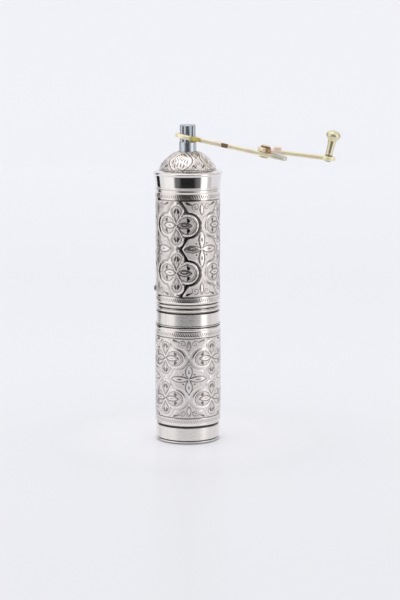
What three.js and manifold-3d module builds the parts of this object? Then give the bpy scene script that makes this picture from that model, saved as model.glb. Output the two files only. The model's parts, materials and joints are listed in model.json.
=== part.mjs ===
// Hand crank coffee grinder: a brass cylinder mill with a folding crank.
// Millimetres, +Z up, origin at the centre of the flat underside of the cup.
import * as THREE from "three";
import { mergeVertices } from "three/addons/utils/BufferGeometryUtils.js";
import Module from "manifold-3d";

const wasm = await Module();
wasm.setup();

// ---- Driving dimensions -------------------------------------------------------------

const GAP = 0.3; // between two neighbours that touch, slide or turn on each other
const ROUND = 48; // facets round the big shells
const FINE = 24; // facets round a shaft, screw or bush
const PIN_SIDES = 12; // facets round a cross pin or a small hole
const EXTRA = 1; // how far a cutter runs past the face it cuts

// Levels above the surface that the mill stands on.
const FOOT_BAND_TOP = 13.2;
const CUP_BOTTOM = 14.2;
const CUP_TOP = 88;
const COLLAR_BAND_HEIGHT = 11.2;
const BARREL_LENGTH = 84.5;
const SIDE_SCREW_ABOVE_COLLAR = 9.4;

// Shells.
const SHEET = 1.2;
const BARREL_R = 24;
const CUP_PROUD = 0.5;
const COLLAR_PROUD = 0.4;
const FOOT_INSET = 0.3;
const FOOT_EDGE = 1.5;
const FOOT_FLOOR = 1.6;
const FOOT_SPIGOT = 6;
const BEAD_PROUD = 0.8;
const BEAD_WIDTH = 3;
const BEAD_GROOVE = 0.4;
const CUP_SPIGOT = 12;
const BARREL_SPIGOT = 14.4;

// Lid.
const SKIRT_PROUD = 0.25;
const SKIRT_FLARE = 0.95;
const SKIRT_HEIGHT = 10.3;
const LID_SPIGOT = 8.5;
const RIM_PROUD = 0.95;
const RIM_HEIGHT = 2.4;
const RIM_ROUND = 0.6;
const DOME_INSET = 4.75;
const DOME_RISE = 14.5;
const DOME_STEP = 1;
const DOME_SEAT = 2.4;
const LID_HOLE_CLEARANCE = 0.7;

// Drive train.
const SHAFT_R = 3;
const BALL_R = 2.4;
const HEAD_R = 6.45;
const HEAD_STEP = 0.35;
const SHOULDER_ABOVE_DOME = 5.9;
const HEAD_BELOW_SHOULDER = 35;
const HEAD_ABOVE_SHOULDER = 12.8;
const HEAD_LOBES = 6;
const HEAD_LOBE_DEPTH = 0.75;
const HEAD_POINTS_PER_LOBE = 8;
const HEAD_SIDES = 36;
const HEAD_CHAMFER = 1.3;
const HEAD_NOTCH = 1.6;
const HEAD_BORE = 25;
const HEAD_PIN_FROM_END = 6;
const EYE_CLEARANCE = 0.35;
const PIN_R = 1.1;

// Grinding unit.
const HOUSING_HEIGHT = 31;
const HOUSING_BELOW_SPIGOT_TOP = 1;
const HOUSING_LEDGE = 4.7;
const FUNNEL_DEPTH = 6;
const HOUSING_WALL = 4.7;
const BURR_HEIGHT = 19;
const BURR_LEDGE = 1.4;
const RING_MOUTH_WALL = 4.6;
const RING_THROAT_WALL = 1.8;
const GRIND_GAP = 0.6;
const CONE_NECK_WALL = 1.9;
const CONE_NECK_STEP = 0.4;
const CONE_NECK = 6.6;
const TEETH = 16;
const TOOTH_DEPTH = 0.7;
const TOOTH_TWIST = 0.5; // radians from one face of a burr to the other

// Bridges and adjuster.
const BRIDGE_WIDTH = 12;
const UPPER_BRIDGE_THICK = 2.5;
const UPPER_BRIDGE_BELOW_TOP = 13.9;
const BRIDGE_TAB = 9;
const BUSH_WALL = 1.7;
const BUSH_LIP = 2;
const BUSH_FLANGE = 1.2;
const BUSH_ABOVE = 1.5;
const LOWER_BRIDGE_THICK = 3;
const LOWER_BOSS_WALL = 3.6;
const ADJUSTER_R = 2.5;
const ADJUSTER_LENGTH = 16.6;
const ADJUSTER_BELOW_BRIDGE_TOP = 1;
const THUMB_R = 6.5;
const THUMB_THICK = 4;
const THUMB_RIBS = 20;
const THUMB_RIB_DEPTH = 0.5;
const THUMB_POINTS_PER_RIB = 4;
const NUT_ACROSS_FLATS = 8;
const NUT_THICK = 4;
const SMALL_SCREW_R = 1.25;
const SMALL_SCREW_HEAD_R = 2.2;
const SMALL_SCREW_HEAD = 1.2;
const DOMED = 0.6; // share of a small head's radius that its flat middle keeps
const BRIM = 0.4; // share of a small head's height that its upright edge keeps
const BRIDGE_SCREW_SHANK = 7;

// Spring stack on the shaft, measured down from the underside of the bush flange.
const SPRING_LENGTH = 19;
const SPRING_WIRE_R = 0.6;
const SPRING_CLEARANCE = 1;
const SPRING_TURNS = 6;
const SPRING_WASHER_THICK = 0.8;
const SHAFT_COLLAR_THICK = 4;
const SHAFT_COLLAR_WALL = 2.7;

// Crank.
const CRANK_TILT = 12.5;
const INNER_THICK = 3.2;
const EYE_WALL = 3.25;
const EYE_ABOVE_SHOULDER = 3.4;
const INNER_WIDTH = 8.2;
const HINGE_REACH = 58.2;
const INNER_TAIL = 17.3;
const WAIST_START = 25.3;
const WAIST_LENGTH = 5;
const WAIST_DEPTH = 0.7;
const OUTER_THICK = 3;
const OUTER_WIDTH = 7;
const HINGE_EYE_R = 5.8;
const FOLDED_KNOB_REACH = 11.2;
const END_R = 5.4;
const BEND_START = 6;
const BEND_RISE = 5.4;
const BOSS_START = 5.6;
const BOSS_LENGTH = 6;
const BOSS_HEIGHT = 2.7;
const RIVET_R = 2;
const RIVET_LIP = 1.4;
const RIVET_HEAD = 0.9;
const HINGE_WASHER_LIP = 2;
const HINGE_WASHER_THICK = 0.5;

// Knob.
const SPINDLE_R = 1.4;
const SPINDLE_LENGTH = 14;
const SPINDLE_HEAD_R = 2.6;
const SPINDLE_HEAD = 0.8;
const KNOB_WASHER_R = 2.9;
const KNOB_WASHER_THICK = 0.5;
const KNOB_STEM_R = 2.9;
const KNOB_NECK_R = 3.3;
const KNOB_HEAD_R = 5.6;
const KNOB_STEM = 11;
const KNOB_LENGTH = 18.6;
const KNOB_CROWN = 3.9; // height of the head above its widest ring
const KNOB_CHEEK = 2.2; // and how far its widest stretch reaches below it

// ---- Levels and radii that follow ---------------------------------------------------

const CUP_R = BARREL_R + CUP_PROUD;
const FOOT_R = CUP_R - FOOT_INSET;
const COLLAR_R = BARREL_R + COLLAR_PROUD;
const CUP_IN_R = CUP_R - SHEET;
const CUP_SPIGOT_R = CUP_IN_R - GAP;
const COLLAR_BOTTOM = CUP_TOP + GAP;
const COLLAR_TOP = COLLAR_BOTTOM + COLLAR_BAND_HEIGHT + 2 * BEAD_WIDTH + BEAD_GROOVE;
const BARREL_BOTTOM = COLLAR_TOP + GAP;
const BARREL_TOP = BARREL_BOTTOM + BARREL_LENGTH;
const BARREL_IN_R = BARREL_R - SHEET;
const BARREL_SPIGOT_R = BARREL_IN_R - GAP;
const COLLAR_IN_R = Math.min(BARREL_SPIGOT_R, CUP_SPIGOT_R) - SHEET;
const SPIGOT_TOP = COLLAR_TOP + BARREL_SPIGOT;
const SIDE_SCREW_Z = COLLAR_TOP + SIDE_SCREW_ABOVE_COLLAR;

const HOUSING_R = COLLAR_IN_R - GAP;
const HOUSING_BOTTOM = SPIGOT_TOP - HOUSING_BELOW_SPIGOT_TOP - HOUSING_HEIGHT;
const HOUSING_TOP = HOUSING_BOTTOM + HOUSING_HEIGHT;
const HOUSING_BORE_R = HOUSING_R - HOUSING_WALL;
const BURR_RING_R = HOUSING_BORE_R - GAP;
const RING_MOUTH_R = BURR_RING_R - RING_MOUTH_WALL;
const RING_THROAT_R = BURR_RING_R - RING_THROAT_WALL;
const CONE_BOTTOM_R = RING_THROAT_R - GRIND_GAP;
const SHAFT_BORE_R = SHAFT_R + GAP;
const CONE_NECK_R = SHAFT_BORE_R + CONE_NECK_WALL;
const CONE_TOP_R = CONE_NECK_R + CONE_NECK_STEP;
const BURR_BOTTOM = HOUSING_BOTTOM + HOUSING_LEDGE + GAP;
const BURR_TOP = BURR_BOTTOM + BURR_HEIGHT;
const LOWER_BRIDGE_TOP = HOUSING_BOTTOM - GAP;
const LOWER_BRIDGE_BOTTOM = LOWER_BRIDGE_TOP - LOWER_BRIDGE_THICK;
const NUT_TOP = LOWER_BRIDGE_BOTTOM - GAP;
const ADJUSTER_TOP = LOWER_BRIDGE_TOP - ADJUSTER_BELOW_BRIDGE_TOP;
const BALL_Z = ADJUSTER_TOP + GAP + BALL_R;
const SHAFT_BOTTOM = BALL_Z + BALL_R + GAP;
const BRIDGE_SCREW_X = (HOUSING_R + HOUSING_BORE_R) / 2;
const SCREW_HOLE_R = SMALL_SCREW_R + GAP;
const PIN_HOLE_R = PIN_R + GAP;

const BUSH_R = SHAFT_BORE_R + BUSH_WALL;
const BUSH_FLANGE_R = BUSH_R + BUSH_LIP;
const UPPER_BRIDGE_TOP = BARREL_TOP - UPPER_BRIDGE_BELOW_TOP;
const UPPER_BRIDGE_BOTTOM = UPPER_BRIDGE_TOP - UPPER_BRIDGE_THICK;
const BUSH_FLANGE_TOP = UPPER_BRIDGE_BOTTOM - GAP;
const SPRING_TOP = BUSH_FLANGE_TOP - BUSH_FLANGE - GAP;
const SPRING_BOTTOM = SPRING_TOP - SPRING_LENGTH;
const SPRING_WASHER_TOP = SPRING_BOTTOM - GAP;
const SHAFT_COLLAR_TOP = SPRING_WASHER_TOP - SPRING_WASHER_THICK - GAP;
const SPRING_R = SHAFT_BORE_R + SPRING_CLEARANCE + SPRING_WIRE_R;

const SKIRT_BOTTOM_R = BARREL_R + SKIRT_PROUD;
const SKIRT_TOP_R = SKIRT_BOTTOM_R + SKIRT_FLARE;
const RIM_R = SKIRT_TOP_R + RIM_PROUD;
const SKIRT_BOTTOM = BARREL_TOP + GAP;
const SKIRT_TOP = SKIRT_BOTTOM + SKIRT_HEIGHT;
const RIM_TOP = SKIRT_TOP + RIM_HEIGHT;
const LID_SPIGOT_R = BARREL_IN_R - GAP;
const DOME_BOTTOM = RIM_TOP + DOME_STEP;
const DOME_BASE_R = RIM_R - DOME_INSET;
const DOME_SPHERE_R = (DOME_BASE_R ** 2 + DOME_RISE ** 2) / (2 * DOME_RISE);
const DOME_CENTRE = DOME_BOTTOM + DOME_RISE - DOME_SPHERE_R;
const LID_HOLE_R = HEAD_R + LID_HOLE_CLEARANCE;
const SHOULDER = DOME_BOTTOM + DOME_RISE + SHOULDER_ABOVE_DOME;
const HEAD_BOTTOM = SHOULDER - HEAD_BELOW_SHOULDER;
const HEAD_TOP = SHOULDER + HEAD_ABOVE_SHOULDER;
const HEAD_TOP_R = HEAD_R - HEAD_STEP;
const HEAD_PIN_Z = HEAD_BOTTOM + HEAD_PIN_FROM_END;
const SHAFT_TOP = HEAD_BOTTOM + HEAD_BORE - GAP;
const BURR_PIN_Z = BURR_TOP + CONE_NECK / 2;

const EYE_R = HEAD_TOP_R + EYE_CLEARANCE + EYE_WALL;
const OUTER_REACH = HINGE_REACH - FOLDED_KNOB_REACH;
const OUTER_BOTTOM = INNER_THICK / 2 + GAP;
const OUTER_TOP = OUTER_BOTTOM + OUTER_THICK;
const RIVET_HOLE_R = RIVET_R + GAP;
const RIVET_HEAD_R = RIVET_R + RIVET_LIP;
const HINGE_WASHER_R = RIVET_R + HINGE_WASHER_LIP;

// ---- Materials ----------------------------------------------------------------------

const metal = (color, roughness) =>
  new THREE.MeshStandardMaterial({ color, roughness, metalness: 1 });
const NICKEL = metal(0xcfcac4, 0.3);
const POLISHED_NICKEL = metal(0xd8d8d8, 0.1);
const ZINC = metal(0x7f8790, 0.45);
const PASSIVATED = metal(0xd9c184, 0.35);
const PALE_BRASS = metal(0xd8cfa4, 0.25);
const BRASS = metal(0xc9a95a, 0.35);
const STEEL = metal(0x9a9da0, 0.4);
const BURR_STEEL = metal(0x6f7276, 0.5);

// ---- Making and cutting solids ------------------------------------------------------

const v2 = (x, y) => new THREE.Vector2(x, y);

// A closed geometry as a manifold solid, without the flat triangles that a pole leaves.
function solid(geometry) {
  const bare = geometry.clone();
  bare.deleteAttribute("normal");
  bare.deleteAttribute("uv");
  const merged = mergeVertices(bare, 1e-4);
  const index = merged.index.array;
  const triVerts = [];
  for (let i = 0; i < index.length; i += 3) {
    const [a, b, c] = [index[i], index[i + 1], index[i + 2]];
    if (a !== b && b !== c && c !== a) triVerts.push(a, b, c);
  }
  const vertProperties = merged.attributes.position.array;
  return new wasm.Manifold(
    new wasm.Mesh({ numProp: 3, vertProperties, triVerts: new Uint32Array(triVerts) }),
  );
}

// A manifold solid as the geometry of one piece.
function geometryOf(made) {
  const { vertProperties, triVerts } = made.getMesh();
  const geometry = new THREE.BufferGeometry();
  geometry.setAttribute("position", new THREE.BufferAttribute(vertProperties, 3));
  geometry.setIndex(new THREE.BufferAttribute(triVerts, 1));
  geometry.computeVertexNormals();
  return geometry;
}

function piece(name, made, material) {
  const mesh = new THREE.Mesh(geometryOf(made), material);
  mesh.name = name;
  return mesh;
}

const group = (...children) => new THREE.Group().add(...children);

// Points on an arc about (x, y), from one angle to the other, in degrees.
function arc(x, y, radius, from, to, steps) {
  const points = [];
  for (let i = 0; i <= steps; i++) {
    const angle = THREE.MathUtils.degToRad(from + ((to - from) * i) / steps);
    points.push(v2(x + radius * Math.cos(angle), y + radius * Math.sin(angle)));
  }
  return points;
}

// A profile of [radius, height] points turned about Z. It closes on itself off the axis.
function turned(points, sides = ROUND) {
  const profile = points.map((p) => (Array.isArray(p) ? v2(...p) : p));
  const onAxis = profile[0].x === 0 && profile.at(-1).x === 0;
  if (!onAxis) profile.push(profile[0].clone());
  const lathe = new THREE.LatheGeometry(profile, sides);
  return solid(lathe.rotateX(Math.PI / 2));
}

const rod = (radius, bottom, top, sides = FINE) =>
  turned([[0, bottom], [radius, bottom], [radius, top], [0, top]], sides);

const ring = (inner, outer, bottom, top, sides = FINE) =>
  turned([[inner, bottom], [outer, bottom], [outer, top], [inner, top]], sides);

// A closed outline of points, standing from one level to another.
function prism(points, bottom, top) {
  const shape = new THREE.Shape(points);
  const settings = { depth: top - bottom, bevelEnabled: false, steps: 1 };
  return solid(new THREE.ExtrudeGeometry(shape, settings).translate(0, 0, bottom));
}

function box(xMin, xMax, yMin, yMax, zMin, zMax) {
  const made = new THREE.BoxGeometry(xMax - xMin, yMax - yMin, zMax - zMin);
  return solid(made.translate((xMin + xMax) / 2, (yMin + yMax) / 2, (zMin + zMax) / 2));
}

// A round bar between two places along X or Y, at a height.
function crossRod(axis, radius, from, to, z, sides = PIN_SIDES) {
  const length = to - from;
  const made = new THREE.CylinderGeometry(radius, radius, length, sides);
  made.translate(0, (from + to) / 2, 0);
  if (axis === "x") made.rotateZ(-Math.PI / 2);
  return solid(made.translate(0, 0, z));
}

// The outline of a round bar with evenly spaced hollows along it.
function lobed(radius, depth, lobes, pointsEach) {
  const count = lobes * pointsEach;
  const outline = [];
  for (let i = 0; i < count; i++) {
    const angle = (2 * Math.PI * i) / count;
    const hollow = Math.max(0, Math.cos(lobes * angle)) ** 2;
    const r = radius - depth * hollow;
    outline.push(v2(r * Math.cos(angle), r * Math.sin(angle)));
  }
  return outline;
}

// ---- Cup ----------------------------------------------------------------------------

function cupBase() {
  const top = CUP_BOTTOM - GAP;
  const spigotR = CUP_IN_R - GAP;
  return turned([
    [0, 0],
    ...arc(FOOT_R - FOOT_EDGE, FOOT_EDGE, FOOT_EDGE, -90, 0, 3),
    [FOOT_R, FOOT_BAND_TOP],
    [FOOT_R - GAP, top],
    [spigotR, top],
    [spigotR, CUP_BOTTOM + FOOT_SPIGOT],
    [spigotR - SHEET, CUP_BOTTOM + FOOT_SPIGOT],
    [spigotR - SHEET, FOOT_FLOOR + FOOT_EDGE],
    [spigotR - SHEET - FOOT_EDGE, FOOT_FLOOR],
    [0, FOOT_FLOOR],
  ]);
}

const cupTube = () => ring(CUP_IN_R, CUP_R, CUP_BOTTOM, CUP_TOP, ROUND);

// ---- Barrel -------------------------------------------------------------------------

const sideScrewHole = (inner) =>
  crossRod("x", SCREW_HOLE_R, -BARREL_R - EXTRA, -inner, SIDE_SCREW_Z);

const barrelTube = () =>
  ring(BARREL_IN_R, BARREL_R, BARREL_BOTTOM, BARREL_TOP, ROUND).subtract(
    sideScrewHole(BARREL_IN_R - EXTRA),
  );

function bead(bottom) {
  const half = BEAD_WIDTH / 2;
  return [-60, -20, 20, 60].map((degrees) => {
    const angle = THREE.MathUtils.degToRad(degrees);
    return [BARREL_R + BEAD_PROUD * Math.cos(angle), bottom + half + half * Math.sin(angle)];
  });
}

function barrelCollar() {
  const bandTop = COLLAR_BOTTOM + COLLAR_BAND_HEIGHT;
  return turned([
    [COLLAR_IN_R, CUP_TOP - CUP_SPIGOT],
    [CUP_SPIGOT_R, CUP_TOP - CUP_SPIGOT],
    [CUP_SPIGOT_R, COLLAR_BOTTOM],
    [COLLAR_R, COLLAR_BOTTOM],
    [COLLAR_R, bandTop],
    ...bead(bandTop),
    ...bead(bandTop + BEAD_WIDTH + BEAD_GROOVE),
    [BARREL_R, COLLAR_TOP],
    [BARREL_SPIGOT_R, COLLAR_TOP],
    [BARREL_SPIGOT_R, SPIGOT_TOP],
    [COLLAR_IN_R, SPIGOT_TOP],
  ]).subtract(sideScrewHole(COLLAR_IN_R - EXTRA));
}

// A flat strip with a round middle and two turned-down ends that follow the tube.
function upperBridge() {
  const half = BRIDGE_WIDTH / 2;
  const reach = BARREL_IN_R - GAP;
  const tabBottom = UPPER_BRIDGE_TOP - BRIDGE_TAB;
  const strip = box(-BARREL_R, BARREL_R, -half, half, tabBottom - EXTRA, UPPER_BRIDGE_TOP);
  const web = rod(reach, UPPER_BRIDGE_BOTTOM, UPPER_BRIDGE_TOP, ROUND);
  const tabs = ring(reach - SHEET, reach, tabBottom, UPPER_BRIDGE_TOP, ROUND);
  const middle = rod(BUSH_FLANGE_R + SHEET, UPPER_BRIDGE_BOTTOM, UPPER_BRIDGE_TOP);
  const hole = rod(BUSH_R + GAP, UPPER_BRIDGE_BOTTOM - EXTRA, UPPER_BRIDGE_TOP + EXTRA);
  return web.add(tabs).intersect(strip).add(middle).subtract(hole);
}

const upperBush = () =>
  turned(
    [
      [SHAFT_BORE_R, BUSH_FLANGE_TOP - BUSH_FLANGE],
      [BUSH_FLANGE_R, BUSH_FLANGE_TOP - BUSH_FLANGE],
      [BUSH_FLANGE_R, BUSH_FLANGE_TOP],
      [BUSH_R, BUSH_FLANGE_TOP],
      [BUSH_R, UPPER_BRIDGE_TOP + BUSH_ABOVE],
      [SHAFT_BORE_R, UPPER_BRIDGE_TOP + BUSH_ABOVE],
    ],
    FINE,
  );

// A small round-headed screw about Z: the head below its seat and the shank above.
const smallScrew = (shank) =>
  turned(
    [
      [0, -SMALL_SCREW_HEAD],
      [SMALL_SCREW_HEAD_R * DOMED, -SMALL_SCREW_HEAD],
      [SMALL_SCREW_HEAD_R, -SMALL_SCREW_HEAD * BRIM],
      [SMALL_SCREW_HEAD_R, 0],
      [SMALL_SCREW_R, 0],
      [SMALL_SCREW_R, shank],
      [0, shank],
    ],
    PIN_SIDES,
  );

function sideScrew() {
  const reach = BARREL_R - (HOUSING_BORE_R + HOUSING_R) / 2;
  const screw = piece("side_screw", smallScrew(reach), BURR_STEEL);
  screw.rotation.y = Math.PI / 2;
  screw.position.set(-BARREL_R - GAP, 0, SIDE_SCREW_Z);
  return screw;
}

// ---- Grinding unit ------------------------------------------------------------------

const BRIDGE_SCREWS = [
  ["bridge_screw_left", -BRIDGE_SCREW_X],
  ["bridge_screw_right", BRIDGE_SCREW_X],
];

// The upright hole of each bridge screw, between two levels.
const bridgeScrewHoles = (bottom, top) =>
  BRIDGE_SCREWS.map(([, x]) => rod(SCREW_HOLE_R, bottom, top, PIN_SIDES).translate([x, 0, 0]));

function burrHousing() {
  const ledgeR = HOUSING_BORE_R - BURR_LEDGE;
  const ledge = BURR_BOTTOM - GAP;
  const holeTop = LOWER_BRIDGE_BOTTOM + BRIDGE_SCREW_SHANK + GAP;
  const body = turned([
    [ledgeR, HOUSING_BOTTOM],
    [HOUSING_R, HOUSING_BOTTOM],
    [HOUSING_R, HOUSING_TOP],
    [HOUSING_R - SHEET / 2, HOUSING_TOP],
    [HOUSING_BORE_R, HOUSING_TOP - FUNNEL_DEPTH],
    [HOUSING_BORE_R, ledge],
    [ledgeR, ledge],
  ]);
  const cuts = bridgeScrewHoles(HOUSING_BOTTOM - EXTRA, holeTop);
  cuts.push(sideScrewHole((HOUSING_BORE_R + HOUSING_R) / 2 - GAP - EXTRA / 2));
  return cuts.reduce((made, cut) => made.subtract(cut), body);
}

// A cone with twisted saw teeth: each level is a lobed outline, turned a little further.
function toothedCone(bottomR, topR, bottom, top, depth) {
  const pointsEach = 3;
  const count = TEETH * pointsEach;
  const levels = 4;
  const positions = [];
  const index = [];
  for (let level = 0; level <= levels; level++) {
    const share = level / levels;
    const z = THREE.MathUtils.lerp(bottom, top, share);
    const coneR = THREE.MathUtils.lerp(bottomR, topR, share);
    for (let i = 0; i < count; i++) {
      const angle = (2 * Math.PI * i) / count + TOOTH_TWIST * share;
      const r = coneR - depth * ((i % pointsEach) / pointsEach);
      positions.push(r * Math.cos(angle), r * Math.sin(angle), z);
    }
  }
  for (let level = 0; level < levels; level++)
    for (let i = 0; i < count; i++) {
      const a = level * count + i;
      const b = level * count + ((i + 1) % count);
      index.push(a, b, b + count, a, b + count, a + count);
    }
  const poles = [bottom, top].map((z) => positions.push(0, 0, z) / 3 - 1);
  const last = levels * count;
  for (let i = 0; i < count; i++) {
    const next = (i + 1) % count;
    index.push(poles[0], next, i, poles[1], last + i, last + next);
  }
  const geometry = new THREE.BufferGeometry();
  geometry.setAttribute("position", new THREE.Float32BufferAttribute(positions, 3));
  return solid(geometry.setIndex(index));
}

function outerBurr() {
  const body = rod(BURR_RING_R, BURR_BOTTOM, BURR_TOP, ROUND);
  const slope = (RING_THROAT_R - RING_MOUTH_R) / BURR_HEIGHT;
  const cutter = toothedCone(
    RING_THROAT_R + slope * EXTRA,
    RING_MOUTH_R - slope * EXTRA,
    BURR_BOTTOM - EXTRA,
    BURR_TOP + EXTRA,
    -TOOTH_DEPTH,
  );
  return body.subtract(cutter);
}

function innerBurr() {
  const cone = toothedCone(CONE_BOTTOM_R, CONE_TOP_R, BURR_BOTTOM, BURR_TOP, TOOTH_DEPTH);
  const neck = rod(CONE_NECK_R, BURR_TOP - EXTRA, BURR_TOP + CONE_NECK);
  const bore = rod(SHAFT_BORE_R, BURR_BOTTOM - EXTRA, BURR_TOP + CONE_NECK + EXTRA);
  const pinHole = crossRod("x", PIN_HOLE_R, -CONE_NECK_R - EXTRA, CONE_NECK_R + EXTRA, BURR_PIN_Z);
  return cone.add(neck).subtract(bore).subtract(pinHole);
}

function lowerBridge() {
  const half = BRIDGE_WIDTH / 2;
  const strip = box(-HOUSING_R, HOUSING_R, -half, half, LOWER_BRIDGE_BOTTOM, LOWER_BRIDGE_TOP);
  const disc = rod(HOUSING_R, LOWER_BRIDGE_BOTTOM, LOWER_BRIDGE_TOP, ROUND);
  const boss = rod(ADJUSTER_R + LOWER_BOSS_WALL, LOWER_BRIDGE_BOTTOM, LOWER_BRIDGE_TOP);
  const below = LOWER_BRIDGE_BOTTOM - EXTRA;
  const above = LOWER_BRIDGE_TOP + EXTRA;
  const holes = [rod(ADJUSTER_R + GAP, below, above), ...bridgeScrewHoles(below, above)];
  return holes.reduce((made, hole) => made.subtract(hole), disc.intersect(strip).add(boss));
}

function bridgeScrew([name, x]) {
  const screw = piece(name, smallScrew(BRIDGE_SCREW_SHANK), STEEL);
  screw.position.set(x, 0, LOWER_BRIDGE_BOTTOM - GAP);
  return screw;
}

// ---- Adjuster -----------------------------------------------------------------------

function adjustingScrew() {
  const bottom = ADJUSTER_TOP - ADJUSTER_LENGTH;
  const outline = lobed(THUMB_R, THUMB_RIB_DEPTH, THUMB_RIBS, THUMB_POINTS_PER_RIB);
  const thumb = prism(outline, bottom, bottom + THUMB_THICK);
  const shank = rod(ADJUSTER_R, bottom + EXTRA, ADJUSTER_TOP);
  return thumb.add(shank);
}

function lockNut() {
  const corner = NUT_ACROSS_FLATS / 2 / Math.cos(Math.PI / 6);
  const body = rod(corner, NUT_TOP - NUT_THICK, NUT_TOP, 6);
  const hole = rod(ADJUSTER_R + GAP, NUT_TOP - NUT_THICK - EXTRA, NUT_TOP + EXTRA);
  return body.subtract(hole);
}

const thrustBall = () =>
  turned(
    [[0, BALL_Z - BALL_R], ...arc(0, BALL_Z, BALL_R, -67.5, 67.5, 6), [0, BALL_Z + BALL_R]],
    FINE,
  );

// ---- Drive --------------------------------------------------------------------------

function driveShaft() {
  const body = rod(SHAFT_R, SHAFT_BOTTOM, SHAFT_TOP);
  const headPin = crossRod("y", PIN_HOLE_R, -HEAD_R, HEAD_R, HEAD_PIN_Z);
  const burrPin = crossRod("x", PIN_HOLE_R, -HEAD_R, HEAD_R, BURR_PIN_Z);
  return body.subtract(headPin).subtract(burrPin);
}

const headOutline = (clearance) =>
  lobed(HEAD_TOP_R + clearance, HEAD_LOBE_DEPTH, HEAD_LOBES, HEAD_POINTS_PER_LOBE);

// Round below the shoulder, fluted above it, with a chamfered top and a cast notch.
function driveHead() {
  const rim = HEAD_TOP - HEAD_CHAMFER;
  const stem = rod(HEAD_R, HEAD_BOTTOM, SHOULDER, HEAD_SIDES);
  const flutes = prism(headOutline(0), SHOULDER - EXTRA, HEAD_TOP);
  const envelope = turned([
    [0, HEAD_BOTTOM],
    [HEAD_R + EXTRA, HEAD_BOTTOM],
    [HEAD_R + EXTRA, rim - HEAD_CHAMFER],
    [HEAD_TOP_R, rim],
    [HEAD_TOP_R - HEAD_CHAMFER, HEAD_TOP],
    [0, HEAD_TOP],
  ]);
  const bore = rod(SHAFT_BORE_R, HEAD_BOTTOM - EXTRA, HEAD_BOTTOM + HEAD_BORE);
  const pinHole = crossRod("y", PIN_HOLE_R, -HEAD_R - EXTRA, HEAD_R + EXTRA, HEAD_PIN_Z);
  const half = HEAD_NOTCH / 2;
  const notch = box(-HEAD_R, HEAD_R, -half, half, HEAD_TOP - half, HEAD_TOP + EXTRA);
  const cuts = [bore, pinHole, notch];
  return cuts.reduce((made, cut) => made.subtract(cut), stem.add(flutes).intersect(envelope));
}

const headPin = () => crossRod("y", PIN_R, -HEAD_R + GAP, HEAD_R - GAP, HEAD_PIN_Z);
const burrPin = () => crossRod("x", PIN_R, -CONE_NECK_R, CONE_NECK_R, BURR_PIN_Z);

const shaftCollar = () =>
  ring(
    SHAFT_BORE_R,
    SHAFT_BORE_R + SHAFT_COLLAR_WALL,
    SHAFT_COLLAR_TOP - SHAFT_COLLAR_THICK,
    SHAFT_COLLAR_TOP,
  );

const springWasher = () =>
  ring(SHAFT_BORE_R, BUSH_FLANGE_R, SPRING_WASHER_TOP - SPRING_WASHER_THICK, SPRING_WASHER_TOP);

// An open coil of round wire about the shaft.
function shaftSpring() {
  class Helix extends THREE.Curve {
    getPoint(t, target = new THREE.Vector3()) {
      const angle = 2 * Math.PI * SPRING_TURNS * t;
      const rise = SPRING_LENGTH - 2 * SPRING_WIRE_R;
      const z = SPRING_BOTTOM + SPRING_WIRE_R + rise * t;
      return target.set(SPRING_R * Math.cos(angle), SPRING_R * Math.sin(angle), z);
    }
  }
  const wire = new THREE.Shape(arc(0, 0, SPRING_WIRE_R, 0, 300, 5));
  const settings = { steps: 12 * SPRING_TURNS, extrudePath: new Helix() };
  return solid(new THREE.ExtrudeGeometry(wire, settings));
}

// ---- Lid ----------------------------------------------------------------------------

function lidSkirt() {
  const seat = DOME_BOTTOM - GAP;
  const innerR = SKIRT_BOTTOM_R - SHEET;
  const spigotInR = LID_SPIGOT_R - SHEET;
  return turned([
    [spigotInR, SKIRT_BOTTOM - LID_SPIGOT],
    [LID_SPIGOT_R, SKIRT_BOTTOM - LID_SPIGOT],
    [LID_SPIGOT_R, SKIRT_BOTTOM],
    [SKIRT_BOTTOM_R, SKIRT_BOTTOM],
    [SKIRT_TOP_R, SKIRT_TOP],
    [RIM_R, SKIRT_TOP + RIM_ROUND],
    [RIM_R, RIM_TOP - RIM_ROUND],
    [SKIRT_TOP_R, RIM_TOP],
    [(SKIRT_TOP_R + DOME_BASE_R) / 2, RIM_TOP + GAP],
    [DOME_BASE_R + GAP, seat],
    [DOME_BASE_R - DOME_SEAT, seat],
    [DOME_BASE_R - DOME_SEAT, seat - SHEET],
    [innerR, SKIRT_TOP],
    [innerR, SKIRT_BOTTOM + SHEET * 2],
    [spigotInR, SKIRT_BOTTOM + SHEET],
  ]);
}

function lidDome() {
  const degrees = THREE.MathUtils.radToDeg;
  const innerSphereR = DOME_SPHERE_R - SHEET;
  const outerFrom = degrees(Math.acos(DOME_BASE_R / DOME_SPHERE_R));
  const innerFrom = degrees(Math.asin((DOME_BOTTOM - DOME_CENTRE) / innerSphereR));
  const outer = arc(0, DOME_CENTRE, DOME_SPHERE_R, outerFrom,
    degrees(Math.acos(LID_HOLE_R / DOME_SPHERE_R)), 8);
  const inner = arc(0, DOME_CENTRE, innerSphereR,
    degrees(Math.acos(LID_HOLE_R / innerSphereR)), innerFrom, 5);
  return turned([...outer, ...inner]);
}

// ---- Crank --------------------------------------------------------------------------

// The plan of a bar from one round end to another, each end with its own radius.
function barPlan(startR, endR, width, length) {
  const half = width / 2;
  const degrees = THREE.MathUtils.radToDeg;
  const startAngle = degrees(Math.asin(Math.min(1, half / startR)));
  const endAngle = degrees(Math.asin(Math.min(1, half / endR)));
  return [
    ...arc(0, 0, startR, startAngle, 360 - startAngle, 24),
    ...arc(length, 0, endR, endAngle - 180, 180 - endAngle, 16),
  ];
}

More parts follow.
